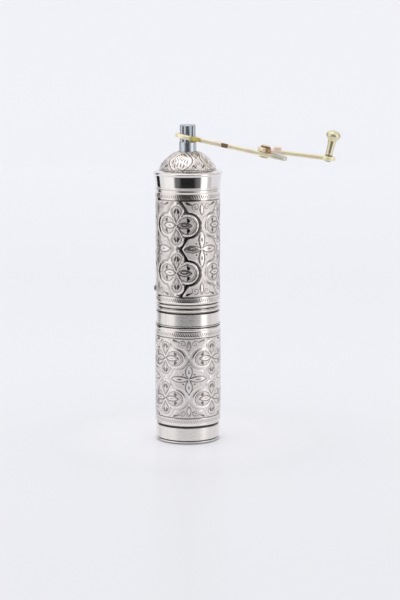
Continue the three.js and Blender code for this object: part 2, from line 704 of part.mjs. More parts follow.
// The inner arm lies in its own tilted plane: along X, flat face up, eye at the origin.
function innerArm() {
  const tilt = THREE.MathUtils.degToRad(CRANK_TILT);
  const half = INNER_THICK / 2;
  const tailR = INNER_WIDTH / 2;
  const plan = barPlan(EYE_R, tailR, INNER_WIDTH, HINGE_REACH + INNER_TAIL - tailR);
  const plate = prism(plan, -half, half);
  const drive = solid(geometryOf(prism(headOutline(EYE_CLEARANCE), -EYE_R, EYE_R)).rotateY(-tilt));
  const rivetHole = rod(RIVET_HOLE_R, -half - EXTRA, half + EXTRA).translate([HINGE_REACH, 0, 0]);
  const waistEnd = WAIST_START + WAIST_LENGTH;
  const waistSide = tailR - WAIST_DEPTH;
  const front = box(WAIST_START, waistEnd, -EYE_R, -waistSide, -half - EXTRA, half + EXTRA);
  const back = box(WAIST_START, waistEnd, waistSide, EYE_R, -half - EXTRA, half + EXTRA);
  const cuts = [drive, rivetHole, front, back];
  return cuts.reduce((made, cut) => made.subtract(cut), plate);
}

// The outer arm is its plan cut from a bent strip: flat over the hinge, then rising.
function outerArm() {
  const slope = Math.tan(THREE.MathUtils.degToRad(BEND_RISE));
  const end = OUTER_REACH + END_R + EXTRA;
  const rise = (end - BEND_START) * slope;
  const side = prism(
    [v2(-HINGE_EYE_R - EXTRA, OUTER_BOTTOM), v2(BEND_START, OUTER_BOTTOM),
      v2(end, OUTER_BOTTOM + rise), v2(end, OUTER_TOP + rise),
      v2(BEND_START, OUTER_TOP), v2(-HINGE_EYE_R - EXTRA, OUTER_TOP)],
    -EYE_R,
    EYE_R,
  );
  const strip = solid(geometryOf(side).rotateX(Math.PI / 2));
  const plan = prism(barPlan(HINGE_EYE_R, END_R, OUTER_WIDTH, OUTER_REACH), 0, EYE_R + rise);
  const bossEnd = BOSS_START + BOSS_LENGTH;
  const halfWidth = OUTER_WIDTH / 2;
  const bossTop = OUTER_TOP + BOSS_HEIGHT;
  const boss = box(BOSS_START, bossEnd, -halfWidth, halfWidth, OUTER_TOP - EXTRA, bossTop);
  const clear = OUTER_TOP + rise + EXTRA;
  const rivetHole = rod(RIVET_HOLE_R, 0, clear);
  const washerSeat = rod(HINGE_WASHER_R + GAP, OUTER_TOP, clear);
  const spindleHole = rod(SPINDLE_R + GAP, 0, clear + EYE_R, PIN_SIDES);
  return strip
    .intersect(plan)
    .add(boss)
    .subtract(rivetHole)
    .subtract(washerSeat)
    .subtract(spindleHole.translate([OUTER_REACH, 0, 0]));
}

function hingeRivet() {
  const lowFace = -INNER_THICK / 2 - GAP;
  const highFace = OUTER_TOP + HINGE_WASHER_THICK + 2 * GAP;
  const edge = RIVET_HEAD * BRIM;
  return turned(
    [
      [0, lowFace - RIVET_HEAD],
      [RIVET_HEAD_R - edge, lowFace - RIVET_HEAD],
      [RIVET_HEAD_R, lowFace - RIVET_HEAD + edge],
      [RIVET_HEAD_R, lowFace],
      [RIVET_R, lowFace],
      [RIVET_R, highFace],
      [RIVET_HEAD_R, highFace],
      [RIVET_HEAD_R, highFace + RIVET_HEAD - edge],
      [RIVET_HEAD_R - edge, highFace + RIVET_HEAD],
      [0, highFace + RIVET_HEAD],
    ],
    FINE,
  );
}

const hingeWasher = () =>
  ring(RIVET_HOLE_R, HINGE_WASHER_R, OUTER_TOP + GAP, OUTER_TOP + GAP + HINGE_WASHER_THICK);

// Knob pieces stand on their own axis, with the top face of the outer arm at height 0.

const knobSpindle = () =>
  turned(
    [
      [0, -OUTER_THICK - GAP - SPINDLE_HEAD],
      [SPINDLE_HEAD_R * DOMED, -OUTER_THICK - GAP - SPINDLE_HEAD],
      [SPINDLE_HEAD_R, -OUTER_THICK - GAP - SPINDLE_HEAD * BRIM],
      [SPINDLE_HEAD_R, -OUTER_THICK - GAP],
      [SPINDLE_R, -OUTER_THICK - GAP],
      [SPINDLE_R, SPINDLE_LENGTH],
      [0, SPINDLE_LENGTH],
    ],
    PIN_SIDES,
  );

const knobWasher = () =>
  ring(SPINDLE_R + GAP, KNOB_WASHER_R, GAP, GAP + KNOB_WASHER_THICK);

// A slim stem under a mushroom head, with a blind bore for the spindle.
function knob() {
  const bottom = 2 * GAP + KNOB_WASHER_THICK;
  const top = bottom + KNOB_LENGTH;
  const widest = top - KNOB_CROWN;
  const boreR = SPINDLE_R + GAP;
  const boreTop = SPINDLE_LENGTH + GAP;
  const crown = [];
  for (let i = 0; i <= 6; i++) {
    const angle = (Math.PI / 2) * (i / 6);
    const r = i === 6 ? 0 : KNOB_HEAD_R * Math.cos(angle);
    crown.push([r, widest + KNOB_CROWN * Math.sin(angle)]);
  }
  return turned(
    [
      [0, boreTop],
      [boreR, boreTop],
      [boreR, bottom],
      [KNOB_STEM_R, bottom],
      [KNOB_NECK_R, bottom + KNOB_STEM],
      [(KNOB_NECK_R + KNOB_HEAD_R) / 2, widest - KNOB_CHEEK],
      [KNOB_HEAD_R, widest - GAP],
      ...crown,
    ],
    FINE,
  );
}

// ---- Assembly -----------------------------------------------------------------------

const tiltRadians = THREE.MathUtils.degToRad(CRANK_TILT);
const bendRadians = THREE.MathUtils.degToRad(BEND_RISE);

const knobAxis = group(
  piece("knob_spindle", knobSpindle(), STEEL),
  piece("knob_washer", knobWasher(), PASSIVATED),
  piece("knob", knob(), PALE_BRASS),
);
const knobFoot = OUTER_TOP + (OUTER_REACH - BEND_START) * Math.tan(bendRadians);
knobAxis.position.set(OUTER_REACH, 0, knobFoot);

const foldingArm = group(
  piece("crank_outer_arm", outerArm(), PASSIVATED),
  piece("hinge_washer", hingeWasher(), PASSIVATED),
  piece("hinge_rivet", hingeRivet(), PASSIVATED),
  knobAxis,
);
foldingArm.position.set(HINGE_REACH, 0, 0);

const crank = group(piece("crank_inner_arm", innerArm(), PASSIVATED), foldingArm);
crank.rotation.y = tiltRadians;
crank.position.set(0, 0, SHOULDER + EYE_ABOVE_SHOULDER);

const cup = group(
  piece("cup_base", cupBase(), NICKEL),
  piece("cup_tube", cupTube(), NICKEL),
);

const barrel = group(
  piece("barrel_collar", barrelCollar(), NICKEL),
  piece("barrel_tube", barrelTube(), NICKEL),
  piece("upper_bridge", upperBridge(), BRASS),
  piece("upper_bush", upperBush(), BRASS),
  sideScrew(),
  piece("burr_housing", burrHousing(), BRASS),
  piece("outer_burr", outerBurr(), BURR_STEEL),
  piece("lower_bridge", lowerBridge(), BRASS),
  ...BRIDGE_SCREWS.map(bridgeScrew),
  piece("lock_nut", lockNut(), STEEL),
  piece("shaft_spring", shaftSpring(), STEEL),
);

const drive = group(
  piece("adjusting_screw", adjustingScrew(), STEEL),
  piece("thrust_ball", thrustBall(), STEEL),
  piece("drive_shaft", driveShaft(), STEEL),
  piece("inner_burr", innerBurr(), BURR_STEEL),
  piece("burr_pin", burrPin(), STEEL),
  piece("shaft_collar", shaftCollar(), STEEL),
  piece("spring_washer", springWasher(), STEEL),
  piece("drive_head", driveHead(), ZINC),
  piece("head_pin", headPin(), STEEL),
);

const lid = group(
  piece("lid_skirt", lidSkirt(), POLISHED_NICKEL),
  piece("lid_dome", lidDome(), NICKEL),
);

export default group(cup, barrel, drive, lid, crank);
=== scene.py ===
"""Fine surfaces and finishes of a hand crank coffee grinder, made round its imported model.

The shape functions work in millimetres and a mesh is written in metres. Angles run
anticlockwise seen from above, from +X, where the crank points. The front is -Y.
"""
import json
import math
from itertools import product

import bmesh
import bpy
import numpy as np
from mathutils.geometry import tessellate_polygon
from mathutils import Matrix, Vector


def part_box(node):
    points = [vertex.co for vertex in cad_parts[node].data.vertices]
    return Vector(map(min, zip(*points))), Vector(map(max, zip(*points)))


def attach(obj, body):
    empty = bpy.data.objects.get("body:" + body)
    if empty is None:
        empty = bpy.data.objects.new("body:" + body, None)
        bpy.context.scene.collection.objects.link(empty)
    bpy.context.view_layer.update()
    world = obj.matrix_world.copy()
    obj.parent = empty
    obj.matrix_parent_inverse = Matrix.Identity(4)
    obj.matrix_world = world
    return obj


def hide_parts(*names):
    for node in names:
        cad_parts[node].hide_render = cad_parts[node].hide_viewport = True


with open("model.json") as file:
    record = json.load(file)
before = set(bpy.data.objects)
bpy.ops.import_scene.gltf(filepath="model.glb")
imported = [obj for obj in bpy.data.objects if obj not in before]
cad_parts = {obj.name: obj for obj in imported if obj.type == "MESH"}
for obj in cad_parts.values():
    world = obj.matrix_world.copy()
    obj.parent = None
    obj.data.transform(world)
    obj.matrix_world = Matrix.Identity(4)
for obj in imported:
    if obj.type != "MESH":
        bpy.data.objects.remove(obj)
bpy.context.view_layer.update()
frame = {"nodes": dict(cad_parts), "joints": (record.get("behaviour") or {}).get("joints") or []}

MM = 0.001
FULL_TURN = 2 * math.pi
PLAIN_SIDES = 160
SMALL_SIDES = 64
FINE_SIDES = 224
ORNAMENT_SIDES = 432
SHARP_ANGLE = math.radians(32)

# Measures that several pieces share, in millimetres.
SHEET = 1.2
GAP = 0.3
HEAD_R = 6.45
FLUTES, FLUTE_DEPTH = 6, 0.75
SHAFT_BORE = 3.3
RIVET_BORE = 2.3
SPINDLE_BORE = 1.7
THREAD_PITCH = 0.8

# Where a column of medallions stands, in degrees, how many stand round the mill, and how
# far apart they are on the barrel.
BARREL_COLUMN = -109.5
CUP_COLUMN = -43
COLUMNS = 4
COLUMN_PITCH = 37.7
ROW_PITCH = 35.3
SEAM_ANGLE = math.radians(-132.8)


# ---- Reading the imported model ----


def low(node):
    """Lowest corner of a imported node, in millimetres."""
    return np.array(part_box(node)[0]) / MM


def high(node):
    """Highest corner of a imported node, in millimetres."""
    return np.array(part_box(node)[1]) / MM


def ends(node):
    """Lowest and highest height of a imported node, in millimetres."""
    return low(node)[2], high(node)[2]


def radius(node):
    """Half the width of a round upright node across Y, where its facets have corners."""
    return (high(node)[1] - low(node)[1]) / 2


def joint(name):
    """A joint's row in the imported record."""
    return next(row for row in frame["joints"] if row["name"] == name)


# ---- Profiles ----


def softened(corners, closed=True, edge=0.2, steps=4):
    """A line of corners (radius, height[, edge]) with each corner cut back by its edge.

    The cut is a quadratic curve between a point `edge` before the corner and one `edge`
    after it, and one more point beyond each end keeps the flats flat.
    """
    corners = [(c[0], c[1], c[2] if len(c) > 2 else edge) for c in corners]
    count = len(corners)
    points = []
    for i, (x, y, cut) in enumerate(corners):
        here = np.array([x, y])
        if not closed and i in (0, count - 1):
            points.append(here)
            continue
        before = np.array(corners[i - 1][:2]) - here
        after = np.array(corners[(i + 1) % count][:2]) - here
        room = min(np.linalg.norm(before), np.linalg.norm(after))
        cut = min(cut, 0.4 * room)
        start = here + before / np.linalg.norm(before) * cut
        end = here + after / np.linalg.norm(after) * cut
        points.append(here + (start - here) * 1.2)
        for t in np.linspace(0, 1, steps + 1):
            points.append((1 - t) ** 2 * start + 2 * t * (1 - t) * here + t * t * end)
        points.append(here + (end - here) * 1.2)
    return np.array(points)


def arc(x, y, r, start, end, steps):
    """Points on a circle about (x, y) between two angles in degrees."""
    angle = np.radians(np.linspace(start, end, steps + 1))
    return np.stack([x + r * np.cos(angle), y + r * np.sin(angle)], -1)


def lobed(r, depth, lobes, count):
    """Outline of a round bar whose radius dips by depth * max(0, cos(lobes * angle))^2."""
    angle = np.arange(count) * FULL_TURN / count
    dip = depth * np.maximum(0, np.cos(lobes * angle)) ** 2
    return np.stack([(r - dip) * np.cos(angle), (r - dip) * np.sin(angle)], -1)


# ---- Meshes ----


def ring_faces(rows, sides, closed):
    """Four-sided faces between neighbouring rings; the last ring meets the first if closed."""
    i = np.arange(rows if closed else rows - 1)[:, None]
    j = np.arange(sides)[None, :]
    below, above, after = i * sides, (i + 1) % rows * sides, (j + 1) % sides
    return np.stack([below + j, below + after, above + after, above + j], -1).reshape(-1, 4)


def revolved(radii, heights, sides):
    """Points and faces of rings (radius by ring and side, height by ring) about Z.

    A first or last ring of no radius becomes one pole with a fan of triangles.
    """
    radii = np.broadcast_to(np.asarray(radii, float), (len(heights), sides))
    bottom_pole, top_pole = radii[0].max() < 1e-6, radii[-1].max() < 1e-6
    kept = slice(1 if bottom_pole else 0, -1 if top_pole else None)
    r = radii[kept]
    z = np.broadcast_to(np.asarray(heights, float).reshape(len(heights), -1), radii.shape)[kept]
    angle = np.arange(sides) * FULL_TURN / sides
    points = np.stack([r * np.cos(angle), r * np.sin(angle), z], -1).reshape(-1, 3)
    rows = len(r)
    faces = ring_faces(rows, sides, closed=not (bottom_pole or top_pole)).tolist()
    j = np.arange(sides)
    after = (j + 1) % sides
    for is_pole, first, z_pole, flip in (
        (bottom_pole, 0, heights[0], True),
        (top_pole, (rows - 1) * sides, heights[-1], False),
    ):
        if is_pole:
            pole = np.full(sides, len(points))
            points = np.vstack([points, [0, 0, np.ravel(z_pole)[0]]])
            a, b = (after, j) if flip else (j, after)
            faces += np.stack([pole, first + a, first + b], -1).tolist()
    return points, faces


def mesh_object(name, points, faces, masks=None):
    """A smooth-shaded object at the origin from points in millimetres, with its masks."""
    mesh = bpy.data.meshes.new(name)
    mesh.from_pydata((np.asarray(points) * MM).tolist(), [], faces)
    mesh.update()
    for mask, values in (masks or {}).items():
        layer = mesh.attributes.new(mask, "FLOAT", "POINT")
        layer.data.foreach_set("value", np.asarray(values, np.float32).ravel())
    mesh.shade_smooth()
    mesh.set_sharp_from_angle(angle=SHARP_ANGLE)
    made = bpy.data.objects.new(name, mesh)
    bpy.context.scene.collection.objects.link(made)
    return made


def finished(made, body, slot, material, *nodes):
    """Sets a piece's finish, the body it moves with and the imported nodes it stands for."""
    made.data.materials.clear()
    made.data.materials.append(material)
    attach(made, body)
    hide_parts(*nodes)
    return made


def turned(name, profile, sides=PLAIN_SIDES):
    """A profile of (radius, height) points turned about Z: up its outer side."""
    profile = np.asarray(profile, float)
    points, faces = revolved(profile[:, :1], profile[:, 1], sides)
    return mesh_object(name, points, faces)


def stacked(name, rings, sides):
    """Rings about Z, each with its radius, alike or by side, and its height."""
    radii = [np.broadcast_to(np.asarray(r, float), sides) for r, _ in rings]
    points, faces = revolved(radii, [z for _, z in rings], sides)
    return mesh_object(name, points, faces)


def plate(name, outline, holes, half, bevel, hole_shift=0.0, steps=3):
    """A flat bar: an outline and holes as loops of (u, v), with rounded edges.

    Each loop is carried through the thickness on a row of levels. Near a face its points
    move inwards along the loop's normal by bevel * (1 - sin) while they rise by
    bevel * cos, a quarter circle. hole_shift slants a hole: u falls by hole_shift * level.
    """
    bend = np.radians(np.linspace(0, 90, steps + 1))
    inset, rise = bevel * (1 - np.sin(bend)), bevel * np.cos(bend)
    level = np.concatenate([-half + bevel - rise, half - bevel + rise[::-1]])
    inward = np.concatenate([inset, inset[::-1]])
    level = np.concatenate([[-half], level, [half]])
    inward = np.concatenate([[bevel * 1.3], inward, [bevel * 1.3]])
    points, faces, caps = [], [], ([], [])
    total = 0
    for k, loop in enumerate([outline, *holes]):
        loop = np.asarray(loop, float)
        ahead, behind = np.roll(loop, -1, 0), np.roll(loop, 1, 0)
        along = ahead - behind
        along /= np.linalg.norm(along, axis=1)[:, None]
        normal = np.stack([-along[:, 1], along[:, 0]], -1) * (1 if k == 0 else -1)
        count = len(loop)
        u = loop[None, :, 0] + inward[:, None] * normal[None, :, 0]
        v = loop[None, :, 1] + inward[:, None] * normal[None, :, 1]
        n = np.repeat(level[:, None], count, 1)
        if k > 0:
            u = u - hole_shift * n
        points.append(np.stack([u, v, n], -1).reshape(-1, 3))
        quads = ring_faces(len(level), count, closed=False) + total
        faces += (quads if k == 0 else quads[:, ::-1]).tolist()
        caps[0].append(np.arange(count) + total)
        caps[1].append(np.arange(count) + total + (len(level) - 1) * count)
        total += count * len(level)
    points = np.vstack(points)
    for side, loops in enumerate(caps):
        flat = [[(*points[i, :2], 0.0) for i in loop] for loop in loops]
        order = np.concatenate(loops)
        for tri in tessellate_polygon(flat):
            a, b, c = (points[order[i], :2] for i in tri)
            up = (b[0] - a[0]) * (c[1] - a[1]) - (b[1] - a[1]) * (c[0] - a[0]) > 0
            tri = order[list(tri)].tolist()
            faces.append(tri if up == (side == 1) else tri[::-1])
    return mesh_object(name, points, faces)


def block(corner_low, corner_high):
    """A plain box between two corners, as a cutter or an addition for `combined`."""
    corners = list(product(*zip(corner_low, corner_high)))
    faces = [[0, 1, 3, 2], [4, 6, 7, 5], [0, 4, 5, 1], [2, 3, 7, 6], [0, 2, 6, 4], [1, 5, 7, 3]]
    return mesh_object("block", corners, faces)


def combined(made, other, operation, edge=0.0):
    """Joins or cuts a piece with another shape, which may have rounded edges, and drops it."""
    if edge:
        rounding = other.modifiers.new("rounding", "BEVEL")
        rounding.width, rounding.segments = edge * MM, 3
    tool = made.modifiers.new("tool", "BOOLEAN")
    tool.object, tool.operation, tool.solver = other, operation, "EXACT"
    bpy.context.view_layer.update()
    view = bpy.context.evaluated_depsgraph_get()
    mesh = bpy.data.meshes.new_from_object(made.evaluated_get(view))
    made.modifiers.clear()
    made.data = mesh
    mesh.shade_smooth()
    mesh.set_sharp_from_angle(angle=SHARP_ANGLE)
    bpy.data.objects.remove(other)
    return made


def placed(made, point_map):
    """Moves a piece's points, in millimetres, through a function of whole arrays."""
    mesh = made.data
    points = np.zeros(len(mesh.vertices) * 3)
    mesh.vertices.foreach_get("co", points)
    moved = point_map(points.reshape(-1, 3) / MM) * MM
    mesh.vertices.foreach_set("co", moved.ravel())
    mesh.update()
    return made


# ---- Ornament: distances in millimetres on whole grids ----


def drop(x, y, start, end, start_r, end_r):
    """Distance to a drop: two circles with the straight sides that touch both."""
    (sx, sy), (ex, ey) = start, end
    length = math.hypot(ex - sx, ey - sy)
    ux, uy = (ex - sx) / length, (ey - sy) / length
    along = (x - sx) * ux + (y - sy) * uy
    across = np.abs((y - sy) * ux - (x - sx) * uy)
    b = (start_r - end_r) / length
    a = math.sqrt(1 - b * b)
    k = a * along - b * across
    sides = a * across + b * along - start_r
    far = np.hypot(across, along - length) - end_r
    return np.where(k < 0, np.hypot(across, along) - start_r, np.where(k > a * length, far, sides))


def leaf(x, y, half_length, half_width):
    """Distance to a pointed leaf along x: the space that two equal circles share."""
    r = (half_length**2 + half_width**2) / (2 * half_width)
    return np.hypot(x, np.abs(y) + r - half_width) - r


def line(distance, half_width, soft=0.22):
    """1 on a line, falling smoothly to 0 over `soft` past its half width."""
    t = np.clip((half_width + soft - np.abs(distance)) / (2 * soft), 0, 1)
    return t * t * (3 - 2 * t)


def inside(distance, soft=0.22):
    """1 inside a shape and 0 outside, with a smooth step over twice `soft`."""
    t = np.clip((soft - distance) / (2 * soft), 0, 1)
    return t * t * (3 - 2 * t)


class Relief:
    """A height in millimetres with two masks: cut hollows, and stippled ground."""

    LAYERS = ("height", "hollow", "ground")

    def __init__(self, shape, ground=0.0):
        self.height, self.hollow = np.zeros(shape), np.zeros(shape)
        self.ground = np.full(shape, ground)

    def raise_by(self, amount, where):
        self.height = np.maximum(self.height, amount * where)
        self.hollow *= 1 - where
        self.ground *= 1 - where

    def cut(self, where, depth=0.16, dark=1.0):
        self.height = self.height * (1 - where) - depth * where
        self.hollow = np.maximum(self.hollow * (1 - where), dark * where)
        self.ground *= 1 - where

    def replace(self, where, other):
        """Takes the layers of another relief, or zero, where a mask says so."""
        for layer in self.LAYERS:
            theirs = getattr(other, layer) if other else 0
            setattr(self, layer, np.where(where, theirs, getattr(self, layer)))

    def stipple(self, where):
        self.ground = np.maximum(self.ground, where)

    def plain(self, where):
        self.height *= 1 - where
        self.hollow *= 1 - where
        self.ground *= 1 - where


def medallion(relief, x, y, shade):
    """Four lobes meeting at a centre, in a frame of a rhombus and two circles."""
    ax, ay = np.abs(x), np.abs(y)
    rhombus = (ax / 15.0 + ay / 24.6 - 1) * 12.8
    frame_line = np.minimum(rhombus, np.hypot(ax - 8.4, y) - 10.1)
    side = drop(ax, y, (0, 0), (8.0, 0), 0.02, 7.1)
    end = drop(x, ay, (0, 0), (0, 10.6), 0.02, 4.5)
    lobes = np.minimum(side, end)
    relief.plain(inside(frame_line - 0.3))
    recess = inside(frame_line + 0.25) * inside(1.15 - lobes) * inside(-2.3 - frame_line)
    relief.cut(recess, 0.5, shade)
    relief.raise_by(0.28, line(frame_line - 0.55, 0.3))
    knot = (ax / 1.9 + np.abs(ay - ROW_PITCH / 2) / 2.6 - 1) * 1.5
    relief.raise_by(0.28, inside(knot))
    relief.stipple(inside(lobes + 0.3))
    relief.cut(line(side + 0.85, 0.26) * inside(0.8 - end))
    relief.cut(line(end + 0.85, 0.24) * inside(0.8 - side))
    relief.raise_by(0.34, np.maximum(line(side - 0.35, 0.42), line(end - 0.35, 0.42)))
    fruit = leaf(ax - 5.8, y, 4.5, 1.7)
    relief.raise_by(0.15, inside(fruit))
    relief.cut(line(fruit - 0.55, 0.42))
    relief.cut(inside(drop(ax, ay, (8.1, 5.7), (8.8, 3.5), 0.25, 1.2)))
    relief.cut(line(side + 2.0, 0.16) * inside(9.6 - ax))
    relief.cut(inside(leaf(ax - 5.7, y, 1.7, 0.3)))
    relief.cut(inside(drop(ax, ay, (0.7, 12.4), (1.2, 9.9), 0.3, 1.25)))
    relief.raise_by(0.1, inside(leaf(ay - 8.4, x, 2.6, 0.6)))
    relief.cut(line(leaf(ay - 7.6, x, 4.0, 1.5), 0.2))


def flower(relief, x, y):
    """Four pointed petals round a small boss, with a dot on each diagonal."""
    ax, ay = np.abs(x), np.abs(y)
    petals = np.minimum(leaf(ax - 6.9, y, 6.1, 2.1), leaf(ay - 6.9, x, 6.1, 2.0))
    relief.raise_by(0.15, inside(petals))
    relief.cut(line(petals - 0.45, 0.36))
    relief.cut(inside(np.minimum(leaf(ax - 6.9, y, 1.8, 0.4), leaf(ay - 6.9, x, 1.8, 0.4))))
    relief.cut(inside(np.hypot(ax - 4.2, ay - 4.2) - 0.65))
    relief.raise_by(0.2, inside(np.hypot(x, y) - 1.1))
    relief.cut(inside(np.hypot(x, y) - 0.35))


def scrolls(relief, x, y):
    """A pair of spirals either side of a bud, standing on a line at y = 0."""
    ax = np.abs(x)
    cx, cy = ax - 4.6, y - 4.6
    far = np.hypot(cx, cy)
    arm = np.abs((far / 1.9 - np.arctan2(cy, cx) / FULL_TURN) % 1 - 0.5) * 1.9
    relief.cut(line(arm, 0.24) * inside(far - 2.9))
    relief.cut(inside(drop(ax, y, (7.2, 3.3), (11.2, 1.7), 0.25, 0.9)))
    bud = leaf(y - 6.3, x, 3.6, 1.1)
    relief.raise_by(0.15, inside(bud))
    relief.cut(line(bud - 0.4, 0.26))


def tube_relief(angle, z, spec):
    """The ornament of one tube on a grid of angles and heights.

    Medallions repeat round the tube and on each row, flowers stand between them at mid
    height, and scrolls fill the gaps at both ends, between two ropes of slanting strokes.
    """
    angle, z = np.broadcast_arrays(angle, z)
    relief = Relief(z.shape, ground=1.0)
    turn = (angle - math.radians(spec["column"])) / FULL_TURN * COLUMNS
    x = (turn - np.round(turn)) * COLUMN_PITCH
    stretch = ROW_PITCH / spec["pitch"]
    middle = sum(spec["rows"]) / 2
    y = ((z - middle) % spec["pitch"] - spec["pitch"] / 2) * stretch
    between = COLUMN_PITCH / 2 - np.abs(x)
    lower, upper = spec["lines"]
    far = np.abs(z - middle) >= spec["pitch"] / 2
    for motif, low_end, up, where in (
        (flower, middle, 1, ~far),
        (scrolls, lower, 1, far & (z < middle)),
        (scrolls, upper, -1, far & (z > middle)),
    ):
        part = Relief(z.shape, ground=1.0)
        motif(part, between, (z - low_end) * up * stretch)
        relief.replace(where, part)
    medallion(relief, x, y, spec["shade"])
    relief.replace((z <= lower) | (z >= upper), None)
    for z_line in spec["lines"]:
        relief.cut(line(z - z_line, 0.38))
    for z_rope in spec["ropes"]:
        across = z - z_rope
        phase = (angle * spec["strokes"] / FULL_TURN + across / 3.2) % 1 - 0.5
        relief.raise_by(0.1, line(across, 1.9, 0.3))
        relief.cut(line(phase * 1.75, 0.26, 0.24) * line(across, 1.2, 0.3))
    for z_bead in spec["beads"]:
        relief.raise_by(0.34, line(z - z_bead, 0.3, 0.35))
    relief.height *= spec["depth"]
    return relief


def relief_object(name, relief, radii, heights):
    """Rings about Z: the first carry a relief's masks and the others are plain."""
    points, faces = revolved(radii, heights, ORNAMENT_SIDES)
    plain = np.zeros((len(heights) - len(relief.height), ORNAMENT_SIDES))
    masks = {mask: np.vstack([getattr(relief, mask), plain]) for mask in ("hollow", "ground")}
    return mesh_object(name, points, faces, masks)


def engraved_tube(node, spec, rows):
    """A thin tube whose outer wall carries the relief; edges and inner wall are plain."""
    outer, (bottom, top) = radius(node), ends(node)
    inner, lip = outer - SHEET, 0.25
    z = np.linspace(bottom + lip, top - lip, rows)
    angle = np.arange(ORNAMENT_SIDES) * FULL_TURN / ORNAMENT_SIDES
    relief = tube_relief(angle[None, :], z[:, None], spec)
    fade = np.clip(np.minimum(z - z[0], z[-1] - z) / 0.6, 0, 1)[:, None]
    wall = outer + relief.height * fade
    top_edge = [(outer - lip / 2, top), (inner + lip / 2, top), (inner, top - lip)]
    bottom_edge = [(inner, bottom + lip), (inner + lip / 2, bottom), (outer - lip / 2, bottom)]
    edges = np.array(top_edge + bottom_edge)
    radii = np.vstack([wall, np.repeat(edges[:, :1], ORNAMENT_SIDES, 1)])
    heights = np.concatenate([z, edges[:, 1]])
    made = relief_object(node + "_shell", relief, radii, heights)
    part = node.removesuffix("_tube")
    return finished(made, part, "engraved_nickel", embossed_nickel(part), node)


# ---- Cup ----


def cup_base():
    """The foot: a rolled lower edge with a fine groove over it, a plain band and a spigot."""
    r, floor_top = radius("cup_base"), 1.6
    band_top, spigot_top = low("cup_tube")[2] - 1, high("cup_base")[2]
    spigot = radius("cup_tube") - SHEET - GAP
    inner = spigot - SHEET
    corners = [
        (0, 0), (r - 2.6, 0, 0.3), (r - 2.4, 0.7, 0.1), (r - 0.9, 0.7, 0.2),
        (r - 0.3, 0.9, 0.2), (r, 1.3, 0.3), (r - 0.05, 1.9, 0.2), (r - 0.7, 2.15, 0.15),
        (r - 0.7, 2.7, 0.15), (r - 0.05, 3.0, 0.2), (r - 0.05, band_top - 0.9, 0.25),
        (r - 1.15, band_top - 0.7, 0.1), (r - 1.15, band_top + 0.7, 0.1),
        (spigot, band_top + 0.7, 0.1), (spigot, spigot_top, 0.3), (inner, spigot_top, 0.3),
        (inner, floor_top + 1.5, 1.2), (inner - 1.5, floor_top, 1.2), (0, floor_top),
    ]
    made = turned("cup_base_shell", softened(corners, closed=False))
    # Painted shade lines: low on the foot's rolled edge, in its fine groove and at the band's top.
    edge, groove = 0.5, 2.4
    nickel = brushed_nickel("base", [(edge, 0.45), (groove, 0.3), (band_top, 0.75)])
    return finished(made, "cup", "nickel", nickel, "cup_base")


def cup_tube():
    return engraved_tube("cup_tube", {
        "column": CUP_COLUMN, "rows": (65.5, 34.9), "pitch": 30.6, "lines": (20.3, 80.9),
        "ropes": (17.7, 83.5), "beads": (15.0, 87.2), "strokes": 88, "depth": 0.8,
        "shade": 0.22,
    }, 196)


# ---- Barrel ----


def barrel_collar():
    """A plain band under two round beads, with a spigot below for the cup and one above."""
    z0, z1 = ends("barrel_collar")
    bottom, top = high("cup_tube")[2] + GAP, low("barrel_tube")[2] - GAP
    barrel = radius("barrel_tube")
    band, slot = barrel + 0.4, barrel - 1.1
    cup_spigot = radius("cup_tube") - SHEET - GAP
    barrel_spigot = barrel - SHEET - GAP
    inner = min(cup_spigot, barrel_spigot) - SHEET
    bead, groove = 3.0, 0.4
    band_top = top - 2 * bead - groove
    corners = [
        (cup_spigot, z0, 0.3), (cup_spigot, bottom + 0.5, 0.1), (band, bottom + 0.5, 0.2),
        (band, bottom + 1.3, 0.3), (band - 0.4, bottom + 1.6, 0.1),
        (band - 0.4, band_top - 0.9, 0.3), (slot, band_top - 0.7, 0.1), (slot, band_top, 0.1),
    ]
    profile = [softened(corners, closed=False)]
    for start in (band_top, band_top + bead + groove):
        middle = start + bead / 2
        across = arc(0, 0, 1, -86, 86, 16) * [1.75, bead / 3]
        profile.append(across + [barrel - 1.0, middle])
    upper = [
        (slot, top, 0.1), (barrel_spigot, top, 0.1), (barrel_spigot, z1, 0.3),
        (inner, z1, 0.3), (inner, z0, 0.3),
    ]
    profile.append(softened(upper, closed=False))
    made = turned("barrel_collar_shell", np.vstack(profile), FINE_SIDES)
    seam = block((band - 0.75, -0.14, bottom + 1.4), (band + 1, 0.14, band_top - 0.7))
    combined(made, seam, "DIFFERENCE")
    cos, sin = math.cos(SEAM_ANGLE), math.sin(SEAM_ANGLE)
    placed(made, lambda p: p @ np.array([[cos, sin, 0], [-sin, cos, 0], [0, 0, 1]]))
    # Painted shade lines: in the seams at both ends, at the band's step, in the slot under the
    # beads and between the beads.
    grooves = [(bottom + 0.25, 0.5), (bottom + 1.5, 0.2), (band_top - 0.35, 0.6),
               (band_top + bead + groove / 2, 0.45), (top, 0.45)]
    nickel = brushed_nickel("collar", grooves)
    return finished(made, "barrel", "nickel", nickel, "barrel_collar")


def barrel_tube():
    return engraved_tube("barrel_tube", {
        "column": BARREL_COLUMN, "rows": (165.3, 130.0), "pitch": ROW_PITCH,
        "lines": (112.0, 183.4), "ropes": (109.3, 186.1), "beads": (107.2, 188.9),
        "strokes": 86, "depth": 1.0, "shade": 0.6,
    }, 214)


